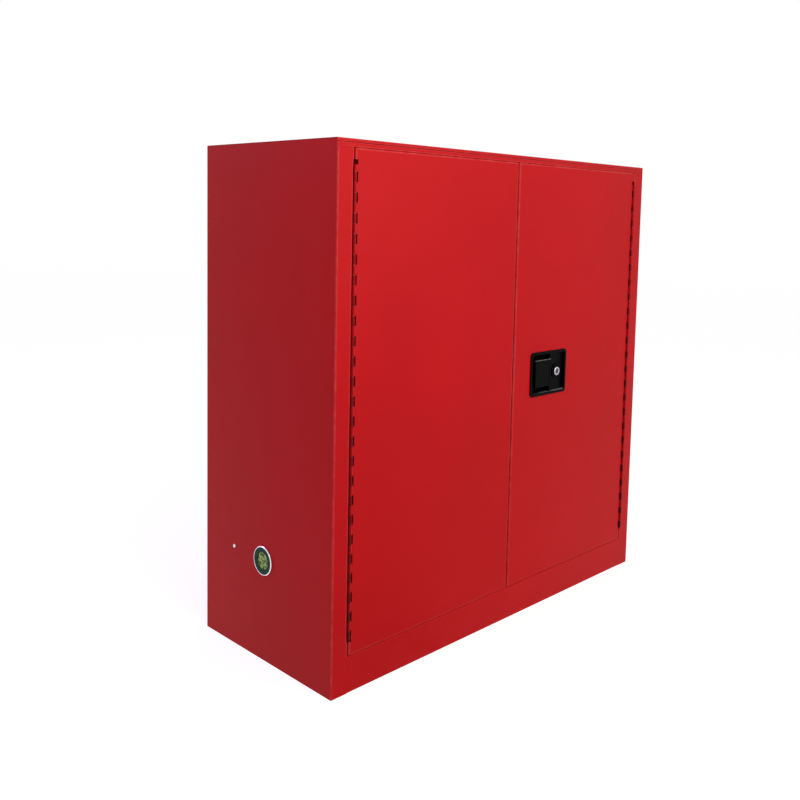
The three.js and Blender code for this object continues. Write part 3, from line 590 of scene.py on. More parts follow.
@dataclass(frozen=True)
class ZincPlate:
    """Zinc-plated steel: soft crystal patches, rolling lines and dull spots."""

    name: str = "zinc_plate"
    colour: Colour = (196, 199, 203)
    crystals_to_metre: float = 70.0
    satin: Point = (0.28, 0.48)
    uneven: Point = (-0.18, 0.05)
    rolling: Triple = (40, 900, 900)
    spots_to_metre: float = 45.0
    spot_dark: float = -0.4
    crystal_sheen: float = 0.05
    line_depth: float = 0.012 * MM
    dents_to_metre: float = 160.0
    dent_depth: float = 0.02 * MM

    def material(self) -> bpy.types.Material:
        """Makes the material.

        Returns:
            the finished material.
        """
        recipe = Recipe(self.name).set(Metallic=1.0)
        crystal = recipe.cells(self.crystals_to_metre)
        line = recipe.noise(1.0, 2.0, recipe.stretched(self.rolling))
        dark, light = (tinted(self.colour, share) for share in self.uneven)
        base = recipe.mix(recipe.spread(crystal, 0, 1, 0.2, 0.8), dark, light)
        spot = recipe.spread(recipe.noise(self.spots_to_metre, 4.0), 0, 0.5, 0.5, 0.8)
        dull = recipe.mix(spot, base, tinted(self.colour, self.spot_dark))
        rough = recipe.sums("ADD", recipe.spread(line, *self.satin),
                            recipe.spread(crystal, -self.crystal_sheen, self.crystal_sheen, 0.2, 0.8))
        recipe.bump([(line, self.line_depth), (recipe.noise(self.dents_to_metre), self.dent_depth)])
        return recipe.dress(dull, rough)


@dataclass(frozen=True)
class Chrome:
    """Bright chrome with fine wiping marks."""

    name: str = "bright_chrome"
    colour: Colour = (226, 228, 230)
    satin: Point = (0.07, 0.17)
    uneven: Point = (-0.12, 0.03)
    haze_to_metre: float = 180.0
    wiping: Triple = (2600, 2600, 260)
    mark_depth: float = 0.002 * MM

    def material(self) -> bpy.types.Material:
        """Makes the material.

        Returns:
            the finished material.
        """
        recipe = Recipe(self.name).set(Metallic=1.0)
        haze = recipe.noise(self.haze_to_metre, 4.0)
        mark = recipe.noise(1.0, 2.0, recipe.stretched(self.wiping))
        base = recipe.mix(recipe.spread(haze, 0, 1), *(tinted(self.colour, share) for share in self.uneven))
        recipe.bump([(mark, self.mark_depth)])
        return recipe.dress(base, recipe.spread(haze, *self.satin))


@dataclass(frozen=True)
class Moulding:
    """Moulded plastic with a fine leather grain, and edges with a painted grey highlight."""

    name: str
    colour: Colour
    gloss: float = 0.3
    # grey of the painted highlight on edges that face the light
    highlight_grey: Colour = (138, 142, 140)
    satin: Point = (0.32, 0.5)
    grain_to_metre: float = 1500.0
    grain_depth: float = 0.03 * MM
    uneven: Point = (-0.15, 0.2)
    haze_to_metre: float = 55.0
    highlight_patches_to_metre: float = 90.0
    highlight_patchiness: Point = (0.4, 0.8)
    dents_to_metre: float = 300.0
    dent_depth: float = 0.02 * MM

    def material(self) -> bpy.types.Material:
        """Makes the material.

        Returns:
            the finished material.
        """
        recipe = Recipe(self.name).set(Specular_IOR_Level=self.gloss, IOR=1.5)
        haze = recipe.noise(self.haze_to_metre, 3.0)
        base = recipe.mix(recipe.spread(haze, 0, 1), *(tinted(self.colour, share) for share in self.uneven))
        # Edges with a bend weight are painted grey in patches, as a highlight.
        patch = recipe.spread(recipe.noise(self.highlight_patches_to_metre), *self.highlight_patchiness)
        painted_highlight = recipe.sums("MULTIPLY", recipe.fold(), patch)
        base = recipe.mix(painted_highlight, base, linear(self.highlight_grey))
        grain = recipe.node("ShaderNodeTexVoronoi", Vector=recipe.coordinates, Scale=self.grain_to_metre)
        recipe.bump([(grain.outputs["Distance"], self.grain_depth),
                     (recipe.noise(self.dents_to_metre), self.dent_depth)])
        return recipe.dress(base, recipe.spread(haze, *self.satin))


@dataclass(frozen=True)
class BrassWire:
    """Drawn brass wire, bright on the crowns and tarnished in places."""

    name: str = "brass_wire"
    colour: Colour = (186, 204, 134)
    tarnish: Colour = (76, 104, 56)
    satin: Point = (0.25, 0.5)
    patches_to_metre: float = 150.0
    drawing_to_metre: float = 2500.0
    drawing_depth: float = 0.01 * MM

    def material(self) -> bpy.types.Material:
        """Makes the material.

        Returns:
            the finished material.
        """
        recipe = Recipe(self.name).set(Metallic=0.9)
        patch = recipe.noise(self.patches_to_metre, 5.0)
        base = recipe.mix(recipe.spread(patch, 0, 0.9, 0.44, 0.56), linear(self.colour), linear(self.tarnish))
        recipe.bump([(recipe.noise(self.drawing_to_metre), self.drawing_depth)])
        return recipe.dress(base, recipe.spread(patch, *self.satin))


finishes = {
    Slot.RED: PowderCoat().material(),
    Slot.ZINC: ZincPlate().material(),
    Slot.CHROME: Chrome().material(),
    Slot.BLACK: Moulding("black_moulding", (3, 3, 4), 0.03).material(),
    Slot.GREEN: Moulding("green_moulding", (6, 58, 38), 0.1).material(),
    Slot.BRASS: BrassWire().material(),
    # The lock's head and plug are darker, violet-tinted chrome: a painted reflection of darker, violet
    # surroundings.
    "lock": Chrome("reflection_toned_chrome", (176, 170, 180), (0.14, 0.3)).material(),
    "plug": Chrome("reflection_darkened_chrome", (84, 78, 88), (0.2, 0.4)).material(),
}


# Pieces


def corners_of(node: str) -> tuple[np.ndarray, np.ndarray]:
    """Gives the lowest and highest corner of a node of the frame."""
    low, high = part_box(node)
    return np.array(low), np.array(high)


def middle_of(node: str) -> np.ndarray:
    """Gives the middle of a node's box."""
    return sum(corners_of(node)) / 2


def side_name(side: int) -> str:
    """Gives the name of a side, -1 or 1."""
    return "left" if side < 0 else "right"


def body_of(node: str) -> str:
    """Gives the body that a node of the frame rides on."""
    groups = frame["record"]["behaviour"]["bodies"]
    return next(body for body, members in groups.items() if node in members)


def smooth_edges(piece: bpy.types.Object, edge: float, angle: float = 40.0) -> None:
    """Rounds a piece's sharp edges and keeps its flats flat.

    Args:
        piece: the piece.
        edge: the rounding.
        angle: the least turn of a sharp edge, in degrees.
    """
    if edge > 0:
        bevel = piece.modifiers.new("edges", "BEVEL")
        bevel.width = edge
        bevel.segments = 2
        bevel.limit_method = "ANGLE"
        bevel.angle_limit = math.radians(angle)
        bevel.harden_normals = True
    shade = piece.modifiers.new("flats", "WEIGHTED_NORMAL")
    shade.mode = "FACE_AREA"
    shade.keep_sharp = True


def place(skin: Skin, node: str, slot: Slot, gauge: float = 0.0, edge: float = 0.25 * MM,
          inside: np.ndarray | None = None, name: str | None = None, finish: str | None = None) -> None:
    """Makes a piece that stands for a node of the frame and rides with its body.

    Args:
        skin: the surface.
        node: the node that the piece replaces.
        slot: the record's slot that gives the finish.
        gauge: the wall that the surface gets on its inner side, or none for a closed surface.
        edge: the rounding of sharp edges.
        inside: a point behind an open sheet.
        name: the piece's name, where it isn't the node's with "dressed_" before it.
        finish: the finish, where it isn't the slot's own.
    """
    name = name or f"dressed_{node}"
    piece = bpy.data.objects.new(name, skin.mesh(name, inside))
    bpy.context.scene.collection.objects.link(piece)
    piece.data.materials.append(finishes[finish or slot])
    if gauge > 0:
        wall = piece.modifiers.new("wall", "SOLIDIFY")
        wall.thickness = gauge
        wall.offset = -1
        wall.use_quality_normals = True
    smooth_edges(piece, edge)
    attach(piece, body_of(node))
    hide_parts(node)
    log.info("%s stands for %s, %d faces", name, node, len(piece.data.polygons))


def keep_node(node: str, slot: Slot, edge: float = 0.25 * MM) -> None:
    """Gives a node of the frame its finish and rounds its edges, with its shape as it is.

    Args:
        node: the node.
        slot: the record's slot that gives the finish.
        edge: the rounding of sharp edges.
    """
    piece = frame["nodes"][node]
    piece.data.materials.clear()
    piece.data.materials.append(finishes[slot])
    joined = piece.modifiers.new("joined", "WELD")
    joined.merge_threshold = WELD
    flat = piece.modifiers.new("flat", "DECIMATE")
    flat.decimate_type = "DISSOLVE"
    flat.angle_limit = math.radians(1)
    smooth_edges(piece, edge)
    log.info("%s keeps its shape", node)


# Folded pans


class Edge(Enum):
    """The sides of a pan's outline, with the way each one faces, in the order the outline turns."""

    RIGHT = (1, 0)
    TOP = (0, 1)
    LEFT = (-1, 0)
    BOTTOM = (0, -1)


@dataclass(frozen=True)
class Gate:
    """A slot through a pan's wall: the side it is on, its middle along that side, and its half width."""

    edge: Edge
    middle: float
    half: float


@dataclass(frozen=True)
class Notch:
    """A long recess along a pan's front corner that a hinge barrel lies in.

    Its bands are a lower end, an upper end and a kind: 1 is a recess with a floor, beside a knuckle that
    is rolled from this side's leaf, and 2 is an open slot, beside a knuckle of the other leaf.
    """

    edge: Edge
    bands: tuple[tuple[float, float, int], ...]
    insets: Point
    depth: float
    radius: float = 2 * MM


@dataclass
class Pan:
    """A sheet pan: a flat face with folded walls, drawn about the middle of its outline.

    A point of the outline at an inset i from its edge is s (h - max(R, i)) + max(R - i, 0) (cos t, sin t),
    with s the corner's signs, h the half size and R the corner radius. Depth is counted from the face.
    """

    width: float
    height: float
    depth: float
    fold: float
    corner: float = 1.2 * MM
    levels: Point | None = None
    rim: float = 24 * MM
    margin: float = 1.5 * MM
    # Folds carry a painted highlight: full on the top and the sides, this share on the lower edge.
    lower_edge_highlight: float = 0.1
    hem: float = 0.0
    gates: tuple[Gate, ...] = ()
    notch: Notch | None = None
    # The edge whose wall is painted dark, as shade in the gap between the doors.
    shaded_edge: Edge | None = None
    steps: int = 5
    fold_steps: int = 6

    def columns(self) -> tuple[np.ndarray, np.ndarray, np.ndarray, np.ndarray]:
        """Gives each outline point's corner signs, direction, fixed place along a side, and notch kind.

        Returns:
            four arrays with one row for each outline point.
        """
        sign, unit, fixed, mark = [], [], [], []
        for turn, edge in enumerate(Edge):
            along = np.array(edge.value, float)
            for place_along, kind in self.stations(edge):
                sign.append(np.where(along != 0, along, 1.0))
                unit.append(along)
                fixed.append(np.where(along != 0, np.nan, place_along))
                mark.append(kind)
            angle = np.linspace(0, math.pi / 2, self.steps + 1) + turn * math.pi / 2
            following = np.array(list(Edge)[(turn + 1) % 4].value, float)
            sign += [along + following] * len(angle)
            unit += list(np.stack([np.cos(angle), np.sin(angle)], axis=1))
            fixed += [np.array([np.nan, np.nan])] * len(angle)
            mark += [0] * len(angle)
        return np.array(sign), np.array(unit), np.array(fixed), np.array(mark)

    def stations(self, edge: Edge) -> list[tuple[float, int]]:
        """Gives the places along a side that need a column, in turning order, with each one's kind.

        Args:
            edge: the side.
        Returns:
            each column's place and kind.
        """
        found = sorted((gate.middle + way * gate.half, 0) for gate in self.gates if gate.edge is edge
                       for way in (-1, 1))
        if self.notch and self.notch.edge is edge:
            bands = self.notch.bands
            found = [(bands[0][0], 0)]
            found += [(spot, kind) for low, high, kind in bands for spot in (low, high)]
            found.append((bands[-1][1], 0))
        return found[::-1] if edge in (Edge.TOP, Edge.LEFT) else found

    def profiles(self) -> tuple[list[np.ndarray], np.ndarray, int]:
        """Gives the wall's profiles of inset and depth by kind, their bend weights and the bend's row.

        Returns:
            a profile for each kind, a weight for each row, and the number of the bend's first row.
        """
        top = [(self.hem, self.depth), (0.0, self.depth)] if self.hem else [(0.0, self.depth)]
        wall = [(0.0, level) for level in self.levels or ()]
        lowest = min(self.levels) if self.levels else self.depth
        start = [(0.0, min(self.fold + self.margin, (self.fold + lowest) / 2))]
        angle = np.linspace(0, math.pi / 2, self.fold_steps + 1)[:, None]
        arc = self.fold * (1 - np.concatenate([np.cos(angle), np.sin(angle)], axis=1))
        flat = [(self.fold + self.margin, 0.0), (self.rim, 0.0)]
        plain = np.array([*top, *wall, *start, *arc, *flat])
        head = len(top) + len(wall) + 1
        weights = np.zeros(len(plain))
        after = head + len(arc)
        weights[head:after] = 1
        profiles = [plain, plain, plain]
        if self.notch:
            cut = self.notch
            turn = np.linspace(0, math.pi / 2, len(arc) - 2)[:, None]
            small = cut.radius * (1 - np.concatenate([np.cos(turn), np.sin(turn)], axis=1))
            for kind, inset in enumerate(cut.insets, start=1):
                recess = np.array([(0.0, cut.depth), (inset, cut.depth), *(small + [inset, 0])])
                profiles[kind] = np.concatenate([plain[:head], recess, plain[after:]])
        return profiles, weights, head

    def loop(self, inset: np.ndarray, width: float | None = None, height: float | None = None,
             corner: float | None = None, shift: Sequence[float] = (0, 0)) -> np.ndarray:
        """Gives the outline at an inset, for this pan or for a window in its face.

        Args:
            inset: one inset for each column.
            width: a window's width.
            height: a window's height.
            corner: a window's corner radius.
            shift: a window's middle.
        Returns:
            one point for each column.
        """
        sign, unit, fixed, _ = self.columns()
        radius = self.corner if corner is None else corner
        half = np.array([width or self.width, height or self.height]) / 2
        inset = np.reshape(inset, (-1, 1))
        spots = sign * (half - np.maximum(radius, inset)) + np.maximum(radius - inset, 0) * unit
        limit = half - radius
        held = fixed if width is None else np.clip(fixed - shift, -limit, limit)
        return np.where(np.isnan(fixed), spots, held) + shift

    def build(self, skin: Skin, window: tuple[float, float, float, Sequence[float]] | None = None) -> None:
        """Adds the pan's outer surface to a skin, as points of outline x, outline y and depth.

        Args:
            skin: what the surface is added to.
            window: width, height, corner radius and middle of a window in the face.
        """
        _, unit, _, mark = self.columns()
        profiles, weights, head = self.profiles()
        chosen = np.stack(profiles)[mark].transpose(1, 0, 2)
        rows = [np.column_stack([self.loop(row[:, 0]), row[:, 1]]) for row in chosen]
        keep = np.ones((len(rows) - 1, len(mark)), bool)
        keep[:, mark != np.roll(mark, -1)] = False
        keep[head, mark == 2] = False
        if self.levels:
            keep[1 + (self.hem > 0), self.gated()] = False
        # Painted highlight on the folds, faint on the lower edge, which faces away from the light.
        highlighted = np.where(unit[:, 1] < 0, self.lower_edge_highlight + (1 - self.lower_edge_highlight) * np.abs(unit[:, 0]), 1)
        bend = weights[:, None] * highlighted[None, :]
        # Open slots beside the barrel, and the meeting edge's wall, are painted dark as shade.
        bend[head - 1:head + 1, mark == 2] = -1
        if self.shaded_edge:
            bend[head - 1, (unit == np.array(self.shaded_edge.value)).all(axis=1)] = -1
        skin.grid(np.stack(rows), keep, wrap=True, bend=bend)
        last = rows[-1]
        if window:
            width, height, corner, middle = window
            inner = self.loop(np.zeros(len(mark)), width, height, corner, middle)
            skin.grid(np.stack([last, np.column_stack([inner, last[:, 2]])]), wrap=True)
        else:
            skin.cap(last)

    def gated(self) -> np.ndarray:
        """Tells which cells of a row lie in a gate.

        Returns:
            one answer for each cell.
        """
        _, unit, fixed, _ = self.columns()
        spot = np.nansum(fixed, axis=1)
        inside = np.zeros(len(unit), bool)
        for gate in self.gates:
            here = (unit == np.array(gate.edge.value)).all(axis=1) & ~np.isnan(fixed).all(axis=1)
            near = here & (np.abs(spot - gate.middle) < gate.half * 1.01)
            inside |= near & np.roll(near, -1)
        return inside


# Places


@dataclass
class Places:
    """Where the frame's main faces are, in metres, as its right side has them.

    Stop is the face that a door shuts against. Notch is the room for a hinge's barrel, from its lower to
    its upper end, and slots are the stile's edge and the door's edge of an open slot beside the barrel.
    Growth is how much taller than its node a door's skin is drawn, so that a thin gap is left at each end.
    Bands are a door's edge beside the barrel, upwards, each a lower end, an upper end and a kind of Notch.
    """

    gauge: float = 1.2 * MM
    stop_width: float = 16 * MM
    door_room: float = 3.5 * MM
    door_end_gap: float = 0.4 * MM
    stop_gap: float = 1 * MM
    barrel_trim: Point = (2 * MM, 6.5 * MM)
    notch_ends: Point = (5.5 * MM, 10 * MM)
    notch_clear: float = 0.8 * MM
    slot_reach: Point = (4.1 * MM, 6.4 * MM)
    barrel: float = 3.1 * MM
    knuckles: int = 48
    rod_half: Point = (4.6 * MM, 2.6 * MM)

    def __post_init__(self) -> None:
        """Reads the places from the frame."""
        panel, door, pin = (np.array(corners_of(node)) for node in
                            ("right_side_panel", "right_door_outer_pan", "right_hinge_pin"))
        self.half_width = float(panel[1, 0])
        self.front = float(panel[0, 1])
        self.jamb = float(panel[0, 0]) + self.stop_width
        self.stop = float(door[1, 1]) + self.stop_gap
        self.header = float(door[1, 2]) + self.door_room
        self.sill = float(door[0, 2]) - self.door_room
        self.growth = np.array([0, 0, 2 * (self.door_room - self.door_end_gap)])
        self.hinge = (pin[0] + pin[1])[:2] / 2
        self.slots = self.hinge[0] + self.slot_reach[0], self.hinge[0] - self.slot_reach[1]
        self.notch_back = self.hinge[1] + self.barrel + self.notch_clear
        self.barrel_ends = pin[0, 2] + self.barrel_trim[0], pin[1, 2] - self.barrel_trim[1]
        low, high = self.barrel_ends
        self.notch = low - self.notch_ends[0], high + self.notch_ends[1]
        joints = np.linspace(pin[0, 2], pin[1, 2], self.knuckles + 1)[1:-1]
        ends = [self.notch[0], low, *joints, high, self.notch[1]]
        self.bands = [(bottom, top, 1 if 0 < k <= self.knuckles and k % 2 == 0 else 2)
                      for k, (bottom, top) in enumerate(zip(ends[:-1], ends[1:]))]
        self.rods = {name: middle_of(name) for name in ("top_rod", "bottom_rod", "centre_bolt")}


places = Places()


# Sub-assemblies


@dataclass
class Shell:
    """The welded outer box: side panels with stiles and jambs, the roof, the base and the inner skins."""

    fold: float = 2.5 * MM
    small_fold: float = 1.5 * MM
    notch_fold: float = 1.6 * MM
    groove: Triple = (6.4 * MM, 1.6 * MM, 1.2 * MM)
    groove_fold: float = 0.2 * MM
    sill_fold: float = 0.9 * MM
    weld_fold: float = 0.2 * MM
    weld_gap: float = 0.05 * MM
    weld_span: Point = (2 * MM, 1.5 * MM)
    stile_line: float = 4.5 * MM
    wing_from: float = 6 * MM
    # share of the painted highlight on the lip's top fold
    lip_highlight: float = 0.3
    # strength of the painted shade in the groove under the lip
    groove_shade: float = 0.4
    # share of the painted highlight on the sill's folds
    sill_highlight: float = 0.15
    cell_half: float = 45 * MM
    screw_cell_half: float = 10 * MM
    vent_hole: float = 25.8 * MM
    screw_hole: float = 2.8 * MM
    lip_turn: float = 84.0
    hole_sides: int = 48
    sump_fold: float = 4 * MM
    sump_corner: float = 6 * MM

    def build(self) -> None:
        """Builds and dresses every piece of the shell."""
        for side in (-1, 1):
            self.side_panel(side)
        self.roof()
        self.base()
        self.sump()
        for node in ("back_panel", "left_liner", "right_liner", "top_liner", "back_liner"):
            keep_node(node, Slot.RED)
        for node in ("top_strike", "bottom_strike"):
            keep_node(node, Slot.ZINC)

    def side_panel(self, side: int) -> None:
        """Builds one side wall with its stile, jamb and stop.

        The sheet follows a bent path in x and y and is drawn along z. Beside the hinge barrel it is cut open,
        and beside the sill the jamb's fold is almost sharp, as a welded corner is.

        Args:
            side: -1 or 1.
        """
        name = side_name(side)
        high = corners_of(f"{name}_side_panel")[1]
        vent_y, vent_z = middle_of(f"{name}_vent_tube")[1:]
        notch_low, notch_high = places.notch
        stop_range = (corners_of("base_panel")[1][2] + SEAM, corners_of("top_panel")[0][2] - SEAM)
        join = (places.sill - self.weld_span[0], places.sill + self.weld_span[1])
        front, back, slot = places.front, places.notch_back, places.slots[0]
        line = slot + self.stile_line
        cell = (vent_z - self.cell_half, vent_z + self.cell_half)
        holes = [(vent_y, vent_z, self.cell_half, self.vent_hole)]
        ends = [high[1], vent_y + self.cell_half, vent_y - self.cell_half, front]
        if side < 0:
            screw = middle_of("earth_screw")
            ends[1:1] = [screw[1] + self.screw_cell_half, screw[1] - self.screw_cell_half]
            holes.append((screw[1], screw[2], self.screw_cell_half, self.screw_hole))
        skin = Skin()
        lower = np.array([0, *join, stop_range[0], notch_low])
        middle = np.array(sorted([notch_low, *cell, stop_range[1], notch_high]))
        upper = np.array([notch_high, places.header - SEAM])
        rows = np.array([*lower[:-1], *middle[:-1], *upper, high[2]])
        self.wall(skin, side, [(places.half_width, y) for y in ends] + [(line, front)], rows, holes)
        stop = [(places.jamb, places.stop), (places.jamb - places.stop_width, places.stop)]
        for heights in (lower, upper):
            radius = np.where(heights <= join[0], self.weld_fold, self.fold)
            self.jamb(skin, side, [(line, front), (places.jamb, front), *stop],
                      [0, radius, self.small_fold, 0], heights, stop_range)
        self.jamb(skin, side, [(line, front), (slot, front), (slot, back)], [0, self.notch_fold, 0], middle)
        # The stop's edge beside the barrel is painted dark, as shade in the slot.
        self.jamb(skin, side, [(places.jamb, back), *stop], [0, self.small_fold, 0], middle, stop_range,
                  painted_shade=(1, 0))
        place(skin, f"{name}_side_panel", Slot.RED, places.gauge, inside=np.array([0, 0, vent_z]))

    def wall(self, skin: Skin, side: int, corners: Sequence[Point], rows: np.ndarray,
             holes: Sequence[tuple[float, float, float, float]]) -> None:
        """Adds the side wall and the stile's outer half, with round holes.

        Args:
            skin: what the wall is added to.
            side: -1 or 1.
            corners: the path in x and y, with x counted outwards.
            rows: the heights of the rows, with the holes' cell between two of them.
            holes: y, z, half cell and radius of each hole.
        """
        path, bend = bent_path(corners, [self.fold] * len(corners))
        points = self.drawn_up(path, rows, side)
        x, y = (path[0][1:] + path[0][:-1]).T / 2
        z = ((rows[1:] + rows[:-1]) / 2)[:, None]
        flat = x > places.half_width - NEAR
        middle = holes[0][1]
        level = np.abs(z - middle) < self.cell_half
        keep = flat[None, :] | (z < places.header - SEAM)
        for hole_y, _, half, _ in holes:
            keep = keep & ~(flat & (np.abs(y - hole_y) < half) & level)
        skin.grid(points, keep, bend=bend[None, :])
        face = side * places.half_width
        for hole_y, hole_z, half, radius in holes:
            loop = circle(radius, self.hole_sides, math.pi) + (hole_y, hole_z)
            box = np.array([[-half, -1], [half, -1], [half, 1], [-half, 1]]) * [1, self.cell_half]
            box += [hole_y, middle]
            skin.window(np.column_stack([np.full(4, face), box]),
                        np.column_stack([np.full(len(loop), face), loop]))

    def jamb(self, skin: Skin, side: int, corners: Sequence[Point], radii: Sequence[float | np.ndarray],
             rows: np.ndarray, stop_range: Point = (0, 9), painted_shade: Point = (0, 0)) -> None:
        """Adds a path in x and y between heights, with the door stop only in its range.

        Args:
            skin: what it is added to.
            side: -1 or 1.
            corners: the path, with x counted outwards.
            radii: the fold at each corner.
            rows: the heights.
            stop_range: the lower and upper end of the door stop.
            painted_shade: how dark the path's first and last point are painted, as shade in a slot.
        """
        path, bend = bent_path(corners, radii)
        bend[[0, -1]] -= painted_shade
        points = self.drawn_up(path, rows, side)
        x = (path[:1, 1:, 0] + path[:1, :-1, 0]) / 2
        z = ((rows[1:] + rows[:-1]) / 2)[:, None]
        y = (path[:1, 1:, 1] + path[:1, :-1, 1]) / 2
        on_stop = (x < places.jamb - NEAR) & (y > places.stop - self.small_fold)
        keep = ~(on_stop & ((z < stop_range[0]) | (z > stop_range[1])))
        soft = np.broadcast_to(radii[1], len(rows)) > self.weld_fold
        skin.grid(points, keep, bend=soft[:, None] * bend[None, :])

    @staticmethod
    def drawn_up(path: np.ndarray, rows: np.ndarray, side: int) -> np.ndarray:
        """Draws a path in x and y along z, as a grid of rows by path points.

        Args:
            path: one path, or one for each row.
            rows: the heights.
            side: -1 or 1.
        Returns:
            rows by path points by three.
        """
        path = np.broadcast_to(path, (len(rows), *path.shape[1:]))
        heights = np.broadcast_to(rows[:, None], path.shape[:2])
        return np.stack([side * path[..., 0], path[..., 1], heights], axis=-1)

    def roof(self) -> None:
        """Builds the roof sheet: its lip turns round both front corners, and the header folds back under it.

        The roof's path in y and z is drawn along x, with a groove under the lip. Where x is within the fold's
        radius r of an end, by an arc r sin t, the front moves back by r (1 - cos t).
        """
        low, high = corners_of("top_panel")
        top, front, header = high[2], places.front, places.header
        rod = places.rods["top_rod"]
        half_x, half_y = places.rod_half
        inner = places.jamb - SEAM
        skin = Skin()
        down, tall, deep = self.groove
        lip = [(high[1], top), (front, top), (front, top - down), (front + deep, top - down),
               (front + deep, top - down - tall), (front, top - down - tall)]
        turns = [0, self.fold, *[self.groove_fold] * 4]
        centre = [*lip, (front, header), (rod[1] - half_y, header),
                  (rod[1] + half_y, header), (places.stop, header), (places.stop, low[2])]
        small = self.small_fold
        path, bend = bent_path(centre, [*turns, small, 0, 0, small, 0])
        bend = self.lip_bend(top - path[0][:, 1], bend)
        columns = np.array([-inner, rod[0] - half_x, rod[0] + half_x, inner])
        points = self.drawn_along_x(path[0], columns)
        y = (path[0][1:, 1] + path[0][:-1, 1]) / 2
        in_slot = (np.abs((path[0][1:, 0] + path[0][:-1, 0]) / 2 - rod[1]) < half_y) & (y < header + small)
        keep = ~(in_slot[:, None] & cells_between(columns, rod[0] - half_x, rod[0] + half_x)[None, :])
        skin.grid(points, keep, bend=bend[:, None])
        path, bend = bent_path([*lip, (front, header + small), (front, header)], [*turns, 0, 0])
        bend = self.lip_bend(top - path[0][:, 1], bend)[:, None]
        angle = np.radians(np.linspace(0, self.lip_turn, 8))
        reach = np.concatenate([[inner], places.half_width - self.fold * (1 - np.sin(angle))])
        back = np.concatenate([[0], self.fold * (1 - np.cos(angle))])
        at_front = (path[0][:, 0] < front + self.fold * 1.01)[:, None]
        for side in (-1, 1):
            points = self.drawn_along_x(path[0], side * reach)
            points[..., 1] += at_front * back[None, :]
            # Where the lip turns round a corner, its front gets the full painted highlight.
            highlighted = np.maximum(bend, (back > 0)[None, :] * at_front)
            skin.grid(points, bend=np.where(bend < 0, bend, highlighted))
        place(skin, "top_panel", Slot.RED, places.gauge, inside=np.array([0, 0, header - 0.3]))

    def lip_bend(self, drop: np.ndarray, bend: np.ndarray) -> np.ndarray:
        """Gives the lip's weights: a faint painted highlight on its top fold, painted shade in its groove,
        and a full painted highlight lower down.

        Args:
            drop: how far each path point is below the top.
            bend: each point's own weight.
        Returns:
            one weight for each path point.
        """
        down, tall, _ = self.groove
        highlighted = np.where(drop < down - tall, self.lip_highlight, 1.0) * bend
        return np.where(np.abs(drop - down - tall / 2) < tall * 0.6, -self.groove_shade, highlighted)

    @staticmethod
    def drawn_along_x(path: np.ndarray, columns: np.ndarray) -> np.ndarray:
        """Draws a path in y and z along x, as a grid of path points by columns.

        Args:
            path: the path.
            columns: the places along x.
        Returns:
            path points by columns by three.
        """
        shape = (len(path), len(columns))
        return np.stack([np.broadcast_to(columns[None, :], shape), np.broadcast_to(path[:, 0, None], shape),
                         np.broadcast_to(path[:, 1, None], shape)], axis=-1).copy()

    def base(self) -> None:
        """Builds the underside, the sill and the lower door stop from one path in y and z drawn along x."""
        low, high = corners_of("base_panel")
        front, sill, stop = places.front, places.sill, places.stop
        rod = places.rods["bottom_rod"]
        half_x, half_y = places.rod_half
        behind = stop + places.gauge + SEAM
        corners = [(high[1], 0), (behind, 0), (front, 0), (front, sill), (rod[1] - half_y, sill),
                   (rod[1] + half_y, sill), (stop, sill), (stop, high[2])]
        small = self.small_fold
        path, bend = bent_path(corners, [0, 0, small, self.sill_fold, 0, 0, small, 0])
        inner = places.jamb - self.weld_gap
        lined = places.jamb + places.gauge + SEAM
        columns = np.array([low[0], -lined, -inner, rod[0] - half_x, rod[0] + half_x, inner, lined, high[0]])
        points = self.drawn_along_x(path[0], columns)
        y, z = ((path[0][1:] + path[0][:-1]) / 2).T
        middle_x = np.abs((columns[1:] + columns[:-1]) / 2)
        floor = (z < NEAR)[:, None]
        wing = (middle_x > lined)[None, :] & (y > front + self.wing_from)[:, None]
        weld = (middle_x > inner)[None, :] & (middle_x < lined)[None, :] & (y > behind)[:, None]
        keep = (middle_x < inner)[None, :] | (floor & (wing | weld))
        in_slot = (np.abs(y - rod[1]) < half_y) & (z > sill - small)
        keep &= ~(in_slot[:, None] & cells_between(columns, rod[0] - half_x, rod[0] + half_x)[None, :])
        skin = Skin().grid(points, keep, bend=self.sill_highlight * bend[:, None])
        place(skin, "base_panel", Slot.RED, places.gauge, inside=np.array([0, 0, 0.3]))

    def sump(self) -> None:
        """Builds the spill-tight floor pan, open at the top."""
        low, high = corners_of("sump_pan")
        size, middle = high - low, (low + high) / 2
        skin = Skin()
        Pan(*size, self.sump_fold, self.sump_corner).build(skin)
        skin.at([0, middle[1], low[2]])
        place(skin, "sump_pan", Slot.RED, places.gauge, inside=middle + (0, 0, size[2]))


